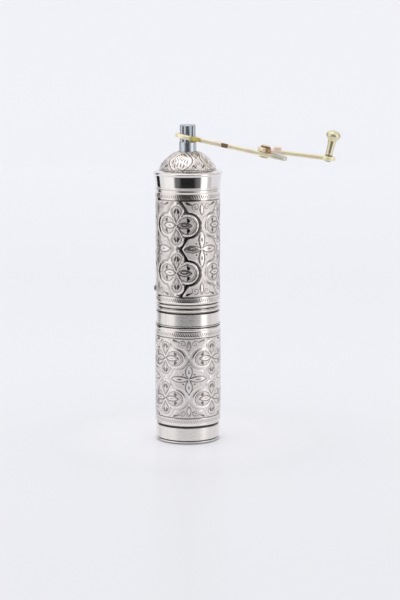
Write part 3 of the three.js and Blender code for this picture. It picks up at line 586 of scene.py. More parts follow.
def side_screw():
    """A small domed screw, turned about Z and laid along X with its head outwards."""
    lo, hi = low("side_screw"), high("side_screw")
    head_r = (hi[1] - lo[1]) / 2
    length, shank_r, rim = hi[0] - lo[0], 1.25, 1.2
    slot_half, slot_depth = 0.35, 0.5
    crown = arc(0, head_r * 0.35, head_r, -90, -20, 8) * [1, 0.55]
    crown[0, 0] = 0
    crown[:, 1] -= crown[0, 1]
    profile = np.vstack([
        crown, [[head_r, rim], [shank_r, rim], [shank_r, length], [0, length]],
    ])
    made = turned("side_screw_piece", profile, SMALL_SIDES)
    slot_cut = block((-head_r - 1, -slot_half, -1), (head_r + 1, slot_half, slot_depth))
    combined(made, slot_cut, "DIFFERENCE")
    middle_z = (lo[2] + hi[2]) / 2
    placed(made, lambda p: np.stack([p[:, 2] + lo[0], -p[:, 1], p[:, 0] + middle_z], -1))
    return finished(made, "barrel", "dark_steel", plain_metal("dark_steel"), "side_screw")


# ---- Lid ----


def lid_skirt():
    """A flared mirror band under a rolled rim, with a spigot inside the barrel."""
    z0, dome_bottom = low("lid_skirt")[2], low("lid_dome")[2]
    bottom, barrel = high("barrel_tube")[2] + GAP, radius("barrel_tube")
    rim, dome = radius("lid_skirt"), radius("lid_dome")
    rim_top = dome_bottom - 1
    skirt_top = rim_top - 2.4
    low_r, top_r = barrel + 0.25, rim - 0.95
    spigot = barrel - SHEET - GAP
    inner = spigot - SHEET
    corners = [
        (spigot, z0, 0.3), (spigot, bottom + 0.1, 0.1), (low_r - 0.1, bottom, 0.2),
        (low_r + 0.35, bottom + 0.5, 0.4), (low_r + 0.35, bottom + 1.1, 0.4),
        (low_r - 0.1, bottom + 1.5, 0.2), (top_r - 0.1, skirt_top - 0.2, 0.5),
        (rim - 0.2, skirt_top + 0.3, 0.4), (rim, skirt_top + 1.0, 0.4),
        (rim - 0.25, skirt_top + 1.7, 0.4), (top_r - 0.6, rim_top, 0.8),
        (dome + 1.6, rim_top + 0.35, 0.6), (dome + 0.5, dome_bottom - GAP, 0.2),
        (dome - 2.4, dome_bottom - GAP, 0.2), (dome - 2.4, dome_bottom - 1.5, 0.2),
        (low_r - SHEET, skirt_top, 0.5), (low_r - SHEET, bottom + 2.4, 0.4),
        (inner, bottom + 1.2, 0.4), (inner, z0, 0.3),
    ]
    made = turned("lid_skirt_shell", softened(corners), FINE_SIDES)
    return finished(made, "lid", "polished_nickel", plain_metal("mirror_nickel"), "lid_skirt")


def dome_relief(angle, t, along, r):
    """Four leaf-shaped panels with feathered strokes, and stippled fields between them.

    t runs from 0 at the rim to 1 at the hole, `along` is the same in millimetres and r
    is the distance from the axis. A panel's half angle is 8 + 25 sin(pi t) degrees.
    """
    angle, t, along, r = np.broadcast_arrays(angle, t, along, r)
    relief = Relief(t.shape, ground=1.0)
    turn = (angle - math.radians(BARREL_COLUMN)) / FULL_TURN * COLUMNS
    offset = (turn - np.round(turn)) * FULL_TURN / COLUMNS
    half = np.radians(8 + 25 * np.sin(math.pi * t))
    x = offset * r
    edge = (np.abs(offset) - half) * r * 0.8
    relief.ground *= 1 - inside(edge + 0.9)
    slant = (along * 0.55 - np.abs(x - 1.2) + 1.5 * np.sin(along * 0.5)) / 2.3
    dashes = np.sin(along * 1.2 + np.abs(x) * 0.8)
    feather = line((slant % 1 - 0.5) * 2.3, 0.42) * np.clip(dashes * 2 + 1.7, 0, 1)
    relief.cut(feather * inside(edge + 1.5))
    gx = (FULL_TURN / (2 * COLUMNS) - np.abs(offset)) * r
    veins = line(((gx - 0.25 * along) / 1.8 % 1 - 0.5) * 1.8, 0.28) * inside(0.6 - edge)
    relief.cut(veins * np.clip(np.sin(along * 1.1 + gx) * 2 + 1, 0, 1))
    relief.cut(inside(drop(gx, along, (2.0, 12.5), (2.6, 15.4), 0.3, 1.0)))
    relief.cut(inside(drop(gx, along, (2.2, 2.6), (4.4, 4.6), 0.3, 1.0)))
    relief.cut(line(edge, 0.34))
    relief.raise_by(0.28, line(edge + 0.95, 0.3))
    relief.raise_by(0.28, line(edge - 0.95, 0.3))
    relief.cut(line(along - 0.9, 0.2))
    return relief


def lid_dome():
    """A spun cap: part of a sphere through its foot ring and the ring of its hole."""
    (bottom, top), foot = ends("lid_dome"), radius("lid_dome")
    hole, rise = radius("drive_head") + 0.7, top - bottom
    mid = (foot**2 - hole**2 - rise**2) / (2 * rise)
    sphere = math.hypot(foot, mid)
    centre = bottom - mid
    start, end = math.atan2(mid, foot), math.atan2(mid + rise, hole)
    t = np.linspace(0, 1, 120)
    lean = start + (end - start) * t
    angle = np.arange(ORNAMENT_SIDES) * FULL_TURN / ORNAMENT_SIDES
    along = (lean - start) * sphere
    ring_r = sphere * np.cos(lean)
    relief = dome_relief(angle[None, :], t[:, None], along[:, None], ring_r[:, None])
    fade = np.clip(np.minimum(t, 1 - t) * 30, 0, 1)[:, None]
    outer = sphere + relief.height * fade
    r_outer = outer * np.cos(lean)[:, None]
    z_outer = centre + outer * np.sin(lean)[:, None]
    thin = sphere - SHEET
    back = np.linspace(end - 0.01, start + 0.04, 16)
    r_inner = np.repeat((thin * np.cos(back))[:, None], ORNAMENT_SIDES, 1)
    z_inner = np.repeat((centre + thin * np.sin(back))[:, None], ORNAMENT_SIDES, 1)
    radii, heights = np.vstack([r_outer, r_inner]), np.vstack([z_outer, z_inner])
    made = relief_object("lid_dome_shell", relief, radii, heights)
    return finished(made, "lid", "engraved_nickel", embossed_nickel("dome"), "lid_dome")


# ---- Drive head and crank ----


def drive_head():
    """A round stem under a shoulder and six flutes; the top is chamfered and notched."""
    bottom, top = ends("drive_head")
    sides, chamfer = 240, 1.1
    socket_top = bottom + 25
    outline = np.hypot(*lobed(HEAD_R - 0.35, FLUTE_DEPTH, FLUTES, sides).T)
    rings = [
        (0, socket_top), (SHAFT_BORE - 0.1, socket_top), (SHAFT_BORE, socket_top - 0.2),
        (SHAFT_BORE, bottom + 0.1), (SHAFT_BORE + 0.2, bottom), (HEAD_R - 0.4, bottom),
        (HEAD_R - 0.1, bottom + 0.1), (HEAD_R, bottom + 0.4), (HEAD_R, SHOULDER - 0.6),
        (HEAD_R - 0.02, SHOULDER - 0.3), (HEAD_R - 0.12, SHOULDER - 0.05),
        ((HEAD_R - 0.35 + outline) / 2, SHOULDER + 0.05), (outline + 0.05, SHOULDER + 0.15),
        (outline, SHOULDER + 0.4),
    ]
    rings += [(outline, z) for z in np.linspace(SHOULDER + 1.2, top - chamfer - 0.3, 10)]
    for a in np.radians(np.linspace(0, 90, 7)):
        inset, drop_to_top = chamfer * (1 - math.cos(a)), chamfer * (1 - math.sin(a))
        rings.append((outline - inset, top - drop_to_top))
    rings += [((outline - chamfer) * 0.75, top), (outline * 0.4, top), (0, top)]
    made = stacked("drive_head_piece", rings, sides)
    notch = block((-HEAD_R - 1, -0.8, top - 0.8), (HEAD_R + 1, 0.8, top + 1))
    combined(made, notch, "DIFFERENCE", edge=0.25)
    return finished(made, "drive", "zinc", plain_metal("cast_zinc"), "drive_head")


def crank_frame():
    """Origin, along and normal of the crank's own plane, from the folding joint."""
    axis = np.array(joint("arm_fold")["axis"])
    axis /= np.linalg.norm(axis)
    along = np.array([axis[2], 0, -axis[0]])
    hinge = np.array(joint("arm_fold")["pos_m"]) / MM
    return hinge - along * hinge[0] / along[0], along, axis


EYE_PLACE, ALONG, NORMAL = crank_frame()
HINGE = np.array(joint("arm_fold")["pos_m"]) / MM
KNOB_FOOT = np.array(joint("knob_spin")["pos_m"]) / MM
TILT = math.asin(NORMAL[0])
HINGE_REACH = float((HINGE - EYE_PLACE) @ ALONG)
OUTER_REACH = float((KNOB_FOOT - HINGE) @ ALONG)
KNOB_LIFT = float((KNOB_FOOT - HINGE) @ NORMAL)
EYE_R = radius("crank_inner_arm")
SHOULDER = float(EYE_PLACE[2]) - 3.4
INNER_HALF = 1.6
OUTER_BOTTOM = INNER_HALF + GAP
OUTER_THICK = 3.0
BEND_START, BEND_HALF = 6.0, 1.5
BEND = math.atan((KNOB_LIFT - OUTER_BOTTOM - OUTER_THICK) / (OUTER_REACH - BEND_START))


def on_crank(made, start=0.0):
    """Takes a piece from the crank's plane (u along, v across, n up) to its place."""
    return placed(
        made,
        lambda p: EYE_PLACE + (p + [start, 0, 0]) @ np.array([ALONG, [0, 1, 0], NORMAL]),
    )


def bar_plan(start_r, end_r, width, length, steps=48):
    """Plan of a bar between two round ends that are wider than, or as wide as, the bar."""
    first = math.degrees(math.asin(min(1, width / 2 / start_r)))
    last = math.degrees(math.asin(min(1, width / 2 / end_r)))
    start = arc(0, 0, start_r, first, 360 - first, steps)
    end = arc(length, 0, end_r, last - 180, 180 - last, steps // 2)
    bar = np.linspace(start_r, length - end_r, 14)[1:-1]
    lower = np.stack([bar, np.full_like(bar, -width / 2)], -1)
    upper = np.stack([bar[::-1], np.full_like(bar, width / 2)], -1)
    return np.vstack([start, lower, end, upper])


def round_hole(u, r, count):
    """A hole's outline about a point of the bar's middle line."""
    return arc(u, 0, r, 0, 360 * (1 - 1 / count), count - 1)


def passivated(made, body, film_and_shade, node):
    return finished(made, body, "passivated_steel", yellow_passivate(film_and_shade), node)


def crank_inner_arm():
    """A flat bar with rounded edges, a fluted eye, a short waist and a round tail."""
    tail_r, waist_depth, (waist_start, waist_end) = 4.1, 0.7, (25.3, 30.3)
    plan = bar_plan(EYE_R, tail_r, 2 * tail_r, HINGE_REACH + 17.3 - tail_r)
    eye = lobed(HEAD_R, FLUTE_DEPTH, FLUTES, 120) / [math.cos(TILT), 1]
    rivet = round_hole(HINGE_REACH, RIVET_BORE, 48)
    made = plate("crank_inner_arm_bar", plan, [eye, rivet], INNER_HALF, bevel=0.9,
                 hole_shift=math.tan(TILT))
    for side in (-1, 1):
        near, far = sorted((side * (tail_r - waist_depth), side * 12))
        combined(made, block((waist_start, near, -3), (waist_end, far, 3)), "DIFFERENCE")
    on_crank(made)
    return passivated(made, "crank", "inner", "crank_inner_arm")


def crank_outer_arm():
    """A flat bar over the hinge with a lug across it; past the lug it rises gently."""
    half, half_width = OUTER_THICK / 2, 3.5
    plan = bar_plan(5.8, 5.4, 2 * half_width, OUTER_REACH)
    holes = [round_hole(0, RIVET_BORE, 48), round_hole(OUTER_REACH, SPINDLE_BORE, 36)]
    made = plate("crank_outer_arm_bar", plan, holes, half, bevel=0.8)
    (lug_start, lug_end), lug_rise = (5.6, 11.6), 2.7
    lug = block((lug_start, -half_width, 0), (lug_end, half_width, half + lug_rise))
    combined(made, lug, "UNION", edge=0.9)
    (ring_start, ring_end), ring_rise = (34.2, 34.9), 0.12
    side, face = half_width + ring_rise, half + ring_rise
    ring = block((ring_start, -side, -face), (ring_end, side, face))
    combined(made, ring, "UNION", edge=0.1)
    shape = bmesh.new()
    shape.from_mesh(made.data)
    for cut in np.linspace(BEND_START - BEND_HALF, BEND_START + BEND_HALF, 7):
        every = shape.verts[:] + shape.edges[:] + shape.faces[:]
        at = (cut * MM, 0, 0)
        bmesh.ops.bisect_plane(shape, geom=every, plane_co=at, plane_no=(1, 0, 0))
    shape.to_mesh(made.data)
    shape.free()

    def bent(p):
        """Height rises by a parabola over the bend and then straight."""
        past = np.clip(p[:, 0] - BEND_START + BEND_HALF, 0, None)
        curved = past**2 / (4 * BEND_HALF)
        rise = np.where(past < 2 * BEND_HALF, curved, past - BEND_HALF) * math.tan(BEND)
        return np.stack([p[:, 0], p[:, 1], p[:, 2] + OUTER_BOTTOM + half + rise], -1)

    placed(made, bent)
    made.data.shade_smooth()
    made.data.set_sharp_from_angle(angle=SHARP_ANGLE)
    on_crank(made, HINGE_REACH)
    return passivated(made, "outer_arm", "outer", "crank_outer_arm")


def hinge_rivet():
    """A shank between two domed heads, with a shallow closing dimple in the upper one."""
    foot, top = -INNER_HALF - GAP, OUTER_BOTTOM + OUTER_THICK + 1.1
    corners = [
        (0, foot - 0.9), (2.6, foot - 0.9, 0.6), (3.4, foot - 0.3, 0.3), (3.4, foot, 0.1),
        (2.0, foot, 0.1), (2.0, top, 0.1), (3.4, top, 0.1), (3.4, top + 0.3, 0.3),
        (2.6, top + 0.9, 0.5), (1.2, top + 0.9, 0.3), (0.7, top + 0.6, 0.3), (0, top + 0.6),
    ]
    made = turned("hinge_rivet_piece", softened(corners, closed=False), SMALL_SIDES)
    on_crank(made, HINGE_REACH)
    return passivated(made, "crank", "rivet", "hinge_rivet")


def washer(name, inner, outer, bottom):
    """A flat ring with soft edges, half a millimetre thick."""
    top = bottom + 0.5
    corners = [(outer, bottom), (outer, top), (inner, top), (inner, bottom)]
    return turned(name, softened(corners, edge=0.15, steps=3), SMALL_SIDES)


def hinge_washer():
    made = washer("hinge_washer_ring", RIVET_BORE, 4.0, OUTER_BOTTOM + OUTER_THICK + GAP)
    on_crank(made, HINGE_REACH)
    return passivated(made, "outer_arm", "washer", "hinge_washer")


def on_knob(made):
    """Stands a piece on the knob's axis, where height 0 is the arm's top face."""
    placed(made, lambda p: p + [0, 0, KNOB_LIFT])
    return on_crank(made, HINGE_REACH + OUTER_REACH)


def knob_spindle():
    corners = [
        (0, -4.1), (1.8, -4.1, 0.4), (2.6, -3.6, 0.3), (2.6, -3.3, 0.1), (1.4, -3.3, 0.1),
        (1.4, 14, 0.2), (0, 14),
    ]
    made = turned("knob_spindle_piece", softened(corners, closed=False), SMALL_SIDES)
    on_knob(made)
    return finished(made, "outer_arm", "steel", plain_metal("turned_steel"), "knob_spindle")


def knob_washer():
    made = on_knob(washer("knob_washer_ring", SPINDLE_BORE, 2.9, GAP))
    return passivated(made, "outer_arm", "washer", "knob_washer")


def knob():
    """A stem that swells towards a ball-like head, flatter on top, with a foot ring."""
    bottom = 2 * GAP + 0.5
    top, head = bottom + 18.6, 5.6
    widest = top - 3.9
    corners = [
        (0, 14.3), (SPINDLE_BORE, 14.3, 0.1), (SPINDLE_BORE, bottom, 0.1), (2.8, bottom, 0.2),
        (2.8, bottom + 0.8, 0.2), (2.6, bottom + 1.2, 0.3), (2.75, bottom + 6.6, 2),
        (3.2, bottom + 10.9, 0.6), (4.3, widest - 2.4, 0.7), (head - 0.25, widest - 1.1, 0.8),
        (head, widest, 0.1),
    ]
    rise = np.radians(np.linspace(0, 90, 20))
    crown = np.stack([head * np.cos(rise), widest + (top - widest) * np.sin(rise)], -1)
    crown[-1, 0] = 0
    profile = np.vstack([softened(corners, closed=False)[:-1], crown])
    made = turned("knob_grip", profile, 96)
    on_knob(made)
    return finished(made, "knob", "pale_brass", plain_metal("pale_brass"), "knob")


# ---- Pieces inside ----


def inner_turned(suffix, node, corners, body, slot, metal_name, closed=True):
    """One plain turned piece on the mill's axis, from its corners."""
    made = turned(node + suffix, softened(corners, closed, 0.15, 3), SMALL_SIDES)
    return finished(made, body, slot, plain_metal(metal_name), node)


def drive_shaft():
    (z0, z1), r = ends("drive_shaft"), radius("drive_shaft")
    corners = [(0, z0), (r, z0, 0.5), (r, z1, 0.5), (0, z1)]
    return inner_turned("_rod", "drive_shaft", corners, "drive", "steel", "turned_steel", False)


def upper_bush():
    (z0, z1), flange = ends("upper_bush"), radius("upper_bush")
    r = flange - 2
    corners = [
        (flange, z0, 0.2), (flange, z0 + 1.2, 0.2), (r, z0 + 1.2, 0.1), (r, z1, 0.3),
        (SHAFT_BORE, z1, 0.3), (SHAFT_BORE, z0, 0.3),
    ]
    return inner_turned("_piece", "upper_bush", corners, "barrel", "brass", "rolled_brass")


def shaft_ring(node):
    (z0, z1), r = ends(node), radius(node)
    corners = [(r, z0), (r, z1), (SHAFT_BORE, z1), (SHAFT_BORE, z0)]
    return inner_turned("_ring", node, corners, "drive", "steel", "turned_steel")


def thrust_ball():
    """A ball: a half circle of its radius turned about Z."""
    z0, z1 = ends("thrust_ball")
    profile = arc(0, (z0 + z1) / 2, (z1 - z0) / 2, -90, 90, 24)
    profile[[0, -1], 0] = 0
    made = turned("thrust_ball_piece", profile, 48)
    return finished(made, "thrust", "steel", plain_metal("turned_steel"), "thrust_ball")


def shaft_spring():
    """Round wire carried along a helix about Z, its ends closed by flat fans."""
    (z0, z1), wire, turns = ends("shaft_spring"), 0.6, 6
    helix_r = (high("shaft_spring")[0] - low("shaft_spring")[0]) / 2 - wire
    steps, sides = turns * 40, 14
    t = np.linspace(0, 1, steps + 1)[:, None]
    around = FULL_TURN * turns * t
    rise = z1 - z0 - 2 * wire
    outward = np.hstack([np.cos(around), np.sin(around), 0 * around])
    centre = helix_r * outward + np.hstack([0 * t, 0 * t, z0 + wire + rise * t])
    sideways = np.hstack([-np.sin(around), np.cos(around), 0 * around])
    forward = helix_r * sideways + [0, 0, rise / (FULL_TURN * turns)]
    forward /= np.linalg.norm(forward, axis=1)[:, None]
    side = np.cross(forward, outward)
    angle = np.arange(sides) * FULL_TURN / sides
    points = (
        centre[:, None] + wire * np.cos(angle)[None, :, None] * outward[:, None]
        + wire * np.sin(angle)[None, :, None] * side[:, None]
    ).reshape(-1, 3)
    faces = ring_faces(steps + 1, sides, closed=False).tolist()
    faces.append(list(range(sides))[::-1])
    faces.append(list(range(steps * sides, (steps + 1) * sides)))
    made = mesh_object("shaft_spring_coil", points, faces)
    return finished(made, "barrel", "steel", plain_metal("turned_steel"), "shaft_spring")


def adjusting_screw():
    """A ribbed thumb wheel under a threaded shank: the thread is a saw wave on a helix."""
    z0, z1 = ends("adjusting_screw")
    thumb, shank, sides = 6.5, 2.5, 160
    wheel_top = z0 + 4.0
    ribs = np.hypot(*lobed(thumb, 0.45, 20, sides).T)
    rings = [
        (0, z0), (ribs - 0.9, z0), (ribs - 0.25, z0 + 0.2), (ribs, z0 + 0.7),
        (ribs, wheel_top - 0.7), (ribs - 0.25, wheel_top - 0.2), (ribs - 0.9, wheel_top),
        (shank, wheel_top),
    ]
    share = np.arange(sides) / sides
    for z in np.arange(wheel_top + 0.2, z1 - 0.4, 0.1):
        saw = np.abs((z / THREAD_PITCH - share) % 1 - 0.5) * 2
        rings.append((shank - 0.35 * saw, z))
    rings += [(shank - 0.5, z1), (0, z1)]
    made = stacked("adjusting_screw_piece", rings, sides)
    return finished(made, "adjuster", "steel", plain_metal("turned_steel"), "adjusting_screw")


def lock_nut():
    """A six-sided ring whose corners are turned away at both faces."""
    z0, z1 = ends("lock_nut")
    sides, flats, bore = 96, 4.0, 2.8
    angle = np.arange(sides) * FULL_TURN / sides
    face = (angle + math.pi / 6) % (math.pi / 3) - math.pi / 6
    hexagon = flats / np.cos(math.pi / 6 - np.abs(face))
    turned_r = np.minimum(hexagon, flats + 0.15)
    made = stacked("lock_nut_piece", [
        (turned_r, z0), (hexagon, z0 + 0.35), (hexagon, z1 - 0.35), (turned_r, z1),
        (bore + 0.3, z1), (bore, z1 - 0.3), (bore, z0 + 0.3), (bore + 0.3, z0),
    ], sides)
    return finished(made, "barrel", "steel", plain_metal("turned_steel"), "lock_nut")


# ---- Materials ----

# How far marks are squeezed along X, Y and Z: brushed round the axis, and cast.
AROUND = (90, 90, 5200)
CAST = (900, 900, 900)
# Roughness, colour, second colour and its share, size of the drift between them, squeeze,
# height of the marks in millimetres, spread of the roughness and share of deep marks.
PLAIN_METALS = {
    "mirror_nickel": (0.10, (0.87, 0.83, 0.815), (0.81, 0.78, 0.77), 0.6, 60, AROUND,
                      0.004, 0.02),
    "cast_zinc": (0.27, (0.52, 0.56, 0.61), (0.64, 0.68, 0.73), 0.9, 160, (500, 500, 120),
                  0.03, 0.1, 0.2),
    "pale_brass": (0.12, (0.74, 0.72, 0.47), (0.68, 0.69, 0.50), 0.8, 90, (500, 500, 1500),
                   0.006, 0.05),
    "rolled_brass": (0.30, (0.78, 0.60, 0.30), (0.66, 0.48, 0.22), 0.8, 60, (140, 900, 900),
                     0.02, 0.08),
    "turned_steel": (0.28, (0.56, 0.57, 0.58), (0.46, 0.46, 0.47), 0.8, 90, (200, 200, 4200),
                     0.02, 0.08),
    "hard_steel": (0.42, (0.30, 0.30, 0.31), (0.40, 0.38, 0.36), 0.8, 120, CAST, 0.05, 0.1),
    "dark_steel": (0.35, (0.10, 0.10, 0.105), (0.17, 0.16, 0.15), 0.8, 300, CAST, 0.02, 0.08),
}
BRUSHED_NICKEL = {
    "roughness": 0.25, "color": (0.88, 0.835, 0.81), "other": (0.82, 0.775, 0.75),
    "amount": 0.8, "scale": 45, "squeeze": AROUND, "bump": 0.02, "rough_range": 0.08,
}
EMBOSSED_NICKEL = {
    "roughness": 0.2, "color": (0.90, 0.845, 0.82), "other": (0.82, 0.765, 0.74),
    "amount": 0.8, "scale": 70, "squeeze": AROUND, "bump": 0.05, "rough_range": 0.05,
}
# Painted shade laid into the grooves and seams of the brushed nickel.
GROOVE_SHADE = (0.07, 0.062, 0.06, 1)
DARK_HOLLOW = (0.12, 0.105, 0.10, 1)
STIPPLE_SHADE = (0.45, 0.41, 0.39, 1)
# The passivated layer: two colours of each piece, patches that all share (stretch, size,
# where their noise starts and ends, most share, colour), and bands across the bars, some
# of the layer's tints and some painted shade (start, end and soft edge from the mill's
# axis, colour, distances from the middle line or None).
FILMS = {
    "washer": ((0.24, 0.14, 0.08), (0.36, 0.22, 0.12)),
    "rivet": ((0.80, 0.66, 0.44), (0.62, 0.42, 0.25)),
    "outer": ((0.84, 0.79, 0.46), (0.90, 0.84, 0.62)),
    "inner": ((0.95, 0.88, 0.60), (0.97, 0.92, 0.78)),
}
PATCHES = (
    ((1.0, 1.0, 1.0), 95.0, 0.52, 0.70, 0.8, (0.90, 0.68, 0.58, 1)),
    ((1.0, 1.4, 0.7), 60.0, 0.52, 0.68, 0.7, (0.76, 0.80, 0.46, 1)),
)
BANDS = {
    "inner": (
        # Painted shade: dark brown on the cut faces of the waist.
        (24.7, 29.8, 0.01, (0.30, 0.19, 0.11), (3.2, 3.6)),
        # Painted shade: dark olive on the sides of the eye.
        (2.5, 8.5, 2.0, (0.50, 0.41, 0.10), (3.0, 20.0)),
        (64.0, 80.0, 3.0, (0.66, 0.66, 0.54), None),
    ),
    "outer": (
        (45.0, 57.2, 1.0, (0.90, 0.76, 0.56), None),
        # Painted shade: a narrow dark brown band across the bar past the hinge.
        (58.0, 61.2, 1.0, (0.38, 0.22, 0.11), None),
        (62.4, 69.0, 0.5, (0.95, 0.80, 0.68), None),
    ),
}


class Graph:
    """Short ways to add and join the nodes of a material or a node group."""

    def __init__(self, tree):
        self.tree = tree

    def add(self, kind, inputs=None, **settings):
        node = self.tree.nodes.new(kind)
        for name, value in settings.items():
            setattr(node, name, value)
        for name, value in (inputs or {}).items():
            socket = node.inputs[name]
            if isinstance(value, bpy.types.NodeSocket):
                self.link(value, socket)
            else:
                socket.default_value = value
        return node

    def link(self, output, target):
        self.tree.links.new(output, target)

    def math(self, operation, a, b=0.0, c=0.0, clamp=False):
        node = self.add("ShaderNodeMath", {0: a, 1: b, 2: c}, operation=operation, use_clamp=clamp)
        return node.outputs[0]

    def noise(self, vector, scale, detail=3.0, rough=0.5):
        inputs = {"Vector": vector, "Scale": scale, "Detail": detail, "Roughness": rough}
        return self.add("ShaderNodeTexNoise", inputs).outputs["Fac"]

    def object_place(self):
        return self.add("ShaderNodeTexCoord").outputs["Object"]

    def parts(self, vector):
        return self.add("ShaderNodeSeparateXYZ", {0: vector}).outputs

    def ranged(self, value, low_in, high_in, low_out, high_out):
        inputs = {0: value, 1: low_in, 2: high_in, 3: low_out, 4: high_out}
        return self.add("ShaderNodeMapRange", inputs).outputs[0]

    def mixed(self, factor, a, b):
        return self.add("ShaderNodeMix", {0: factor, 6: a, 7: b}, data_type="RGBA").outputs[2]

    def mixed_shader(self, factor, a, b):
        return self.add("ShaderNodeMixShader", {0: factor, 1: a, 2: b}).outputs[0]

    def attribute(self, name):
        return self.add("ShaderNodeAttribute", attribute_name=name).outputs["Fac"]


def group(name, inputs, outputs, fill):
    """A shader node group with named sockets, made once and found again by its name."""
    if name in bpy.data.node_groups:
        return bpy.data.node_groups[name]
    tree = bpy.data.node_groups.new(name, "ShaderNodeTree")
    for label, kind, value in inputs:
        socket = tree.interface.new_socket(label, in_out="INPUT", socket_type=kind)
        if value is not None:
            socket.default_value = value
    for label, kind in outputs:
        tree.interface.new_socket(label, in_out="OUTPUT", socket_type=kind)
    graph = Graph(tree)
    entry = graph.add("NodeGroupInput").outputs
    leave = graph.add("NodeGroupOutput").inputs
    for label, socket in fill(graph, entry).items():
        tree.links.new(socket, leave[label])
    return tree


FLOAT, COLOR, VECTOR = "NodeSocketFloat", "NodeSocketColor", "NodeSocketVector"


def tone_drift():
    """Broad, soft changes of a metal's colour, and thin marks from handling."""

    def fill(g, entry):
        broad = g.noise(entry["Place"], entry["Scale"], 2.0)
        fine = g.noise(entry["Place"], g.math("MULTIPLY", entry["Scale"], 9.0), 4.0, 0.6)
        both = g.math("ADD", g.math("MULTIPLY", broad, 0.7), g.math("MULTIPLY", fine, 0.3))
        share = g.math("MULTIPLY", g.ranged(both, 0.3, 0.7, 0.0, 1.0), entry["Amount"])
        return {"Color": g.mixed(share, entry["Color"], entry["Other"]), "Tone": both}

    return group(
        "tone_drift",
        [("Place", VECTOR, None), ("Color", COLOR, (0.8, 0.8, 0.8, 1)),
         ("Other", COLOR, (0.6, 0.6, 0.6, 1)), ("Amount", FLOAT, 0.5), ("Scale", FLOAT, 40.0)],
        [("Color", COLOR), ("Tone", FLOAT)],
        fill,
    )


def brushed_lines():
    """Fine marks along one direction: noise squeezed across it, and a few deeper ones."""

    def fill(g, entry):
        place = g.add("ShaderNodeVectorMath", {0: entry["Place"], 1: entry["Squeeze"]},
                      operation="MULTIPLY").outputs[0]
        fine = g.noise(place, 1.0, 3.0, 0.65)
        deep = g.noise(place, 0.37, 1.0)
        cut = g.ranged(deep, 0.62, 0.72, 0.0, 1.0)
        height = g.math("SUBTRACT", fine, g.math("MULTIPLY", cut, entry["Deep"]))
        return {"Height": height, "Rough": g.ranged(fine, 0.3, 0.7, -1.0, 1.0)}

    return group(
        "brushed_lines",
        [("Place", VECTOR, None), ("Squeeze", VECTOR, (60, 60, 4000)), ("Deep", FLOAT, 0.5)],
        [("Height", FLOAT), ("Rough", FLOAT)],
        fill,
    )


def metal(name, roughness, color, other, amount, scale, squeeze, bump, rough_range=0.06,
          deep=0.5, metallic=1.0, extra=None):
    """A metal with drifting tone and brushed marks; `extra` may change any of its inputs.

    Made once: a second call with the same name gives the same material.
    """
    if name in bpy.data.materials:
        return bpy.data.materials[name]
    material = bpy.data.materials.new(name)
    material.use_nodes = True
    g = Graph(material.node_tree)
    shader = material.node_tree.nodes["Principled BSDF"]
    shader.inputs["Metallic"].default_value = metallic
    place = g.object_place()
    drift = g.add("ShaderNodeGroup", {
        "Place": place, "Color": (*color, 1), "Other": (*other, 1), "Amount": amount,
        "Scale": scale,
    }, node_tree=tone_drift()).outputs
    marks = g.add("ShaderNodeGroup", {"Place": place, "Squeeze": squeeze, "Deep": deep},
                  node_tree=brushed_lines()).outputs
    sockets = {
        "Base Color": drift["Color"],
        "Roughness": g.math("MULTIPLY_ADD", marks["Rough"], rough_range, roughness),
        "Height": marks["Height"],
    }
    if extra:
        sockets.update(extra(g, place, sockets))
    relief = g.add("ShaderNodeBump", {"Height": sockets.pop("Height"), "Strength": 1.0,
                                      "Distance": bump * MM})
    sockets["Normal"] = relief.outputs["Normal"]
    for label, socket in sockets.items():
        g.link(socket, shader.inputs[label])
    return material


def brushed_nickel(part, grooves):
    """Nickel brushed around Z: its fine marks spread reflections up and down.

    Each groove, a height and half a width in millimetres, gets a dark line of painted shade.
    """

    def groove_shading(g, place, sockets):
        height = g.parts(place)["Z"]
        share = 0.0
        for z, half_width in grooves:
            near = g.math("COMPARE", height, z * MM, half_width * MM)
            share = g.math("ADD", share, near)
        # Painted shade: near each groove's height the colour mixes towards near black.
        color = g.mixed(share, sockets["Base Color"], GROOVE_SHADE)
        around = g.add("ShaderNodeTangent", direction_type="RADIAL", axis="Z")
        return {"Base Color": color, "Tangent": around.outputs[0]}

    material = metal("brushed_nickel_" + part, **BRUSHED_NICKEL, extra=groove_shading)
    shader = material.node_tree.nodes["Principled BSDF"]
    shader.inputs["Anisotropic"].default_value = 0.8
    shader.inputs["Anisotropic Rotation"].default_value = 0.25
    return material


def embossed_nickel(part):
    """Nickel over a relief: smooth, darker hollows and a stippled, duller ground."""

    def relief_finish(g, place, sockets):
        hollow, ground = g.attribute("hollow"), g.attribute("ground")
        dots = g.add("ShaderNodeTexVoronoi", {"Vector": place, "Scale": 760.0}).outputs[0]
        pits = g.ranged(dots, 0.12, 0.45, 0.0, 1.0)
        smooth = g.math("MULTIPLY", hollow, 1.8, clamp=True)
        marks = g.math("MULTIPLY", sockets["Height"], g.ranged(smooth, 0.0, 1.0, 0.2, 0.0))
        height = g.math("MULTIPLY_ADD", g.math("MULTIPLY", pits, ground), 2.6, marks)
        rough = g.math("MULTIPLY_ADD", ground, 0.34, sockets["Roughness"])
        rough = g.ranged(smooth, 0.0, 1.0, rough, 0.07)
        dark = g.math("MULTIPLY", hollow, 0.9)
        color = g.mixed(dark, sockets["Base Color"], DARK_HOLLOW)
        shade = g.math("MULTIPLY", g.math("SUBTRACT", 1.0, pits), g.math("MULTIPLY", ground, 0.45))
        color = g.mixed(shade, color, STIPPLE_SHADE)
        return {"Base Color": color, "Roughness": rough, "Height": height}

    return metal("embossed_nickel_" + part, **EMBOSSED_NICKEL, extra=relief_finish)


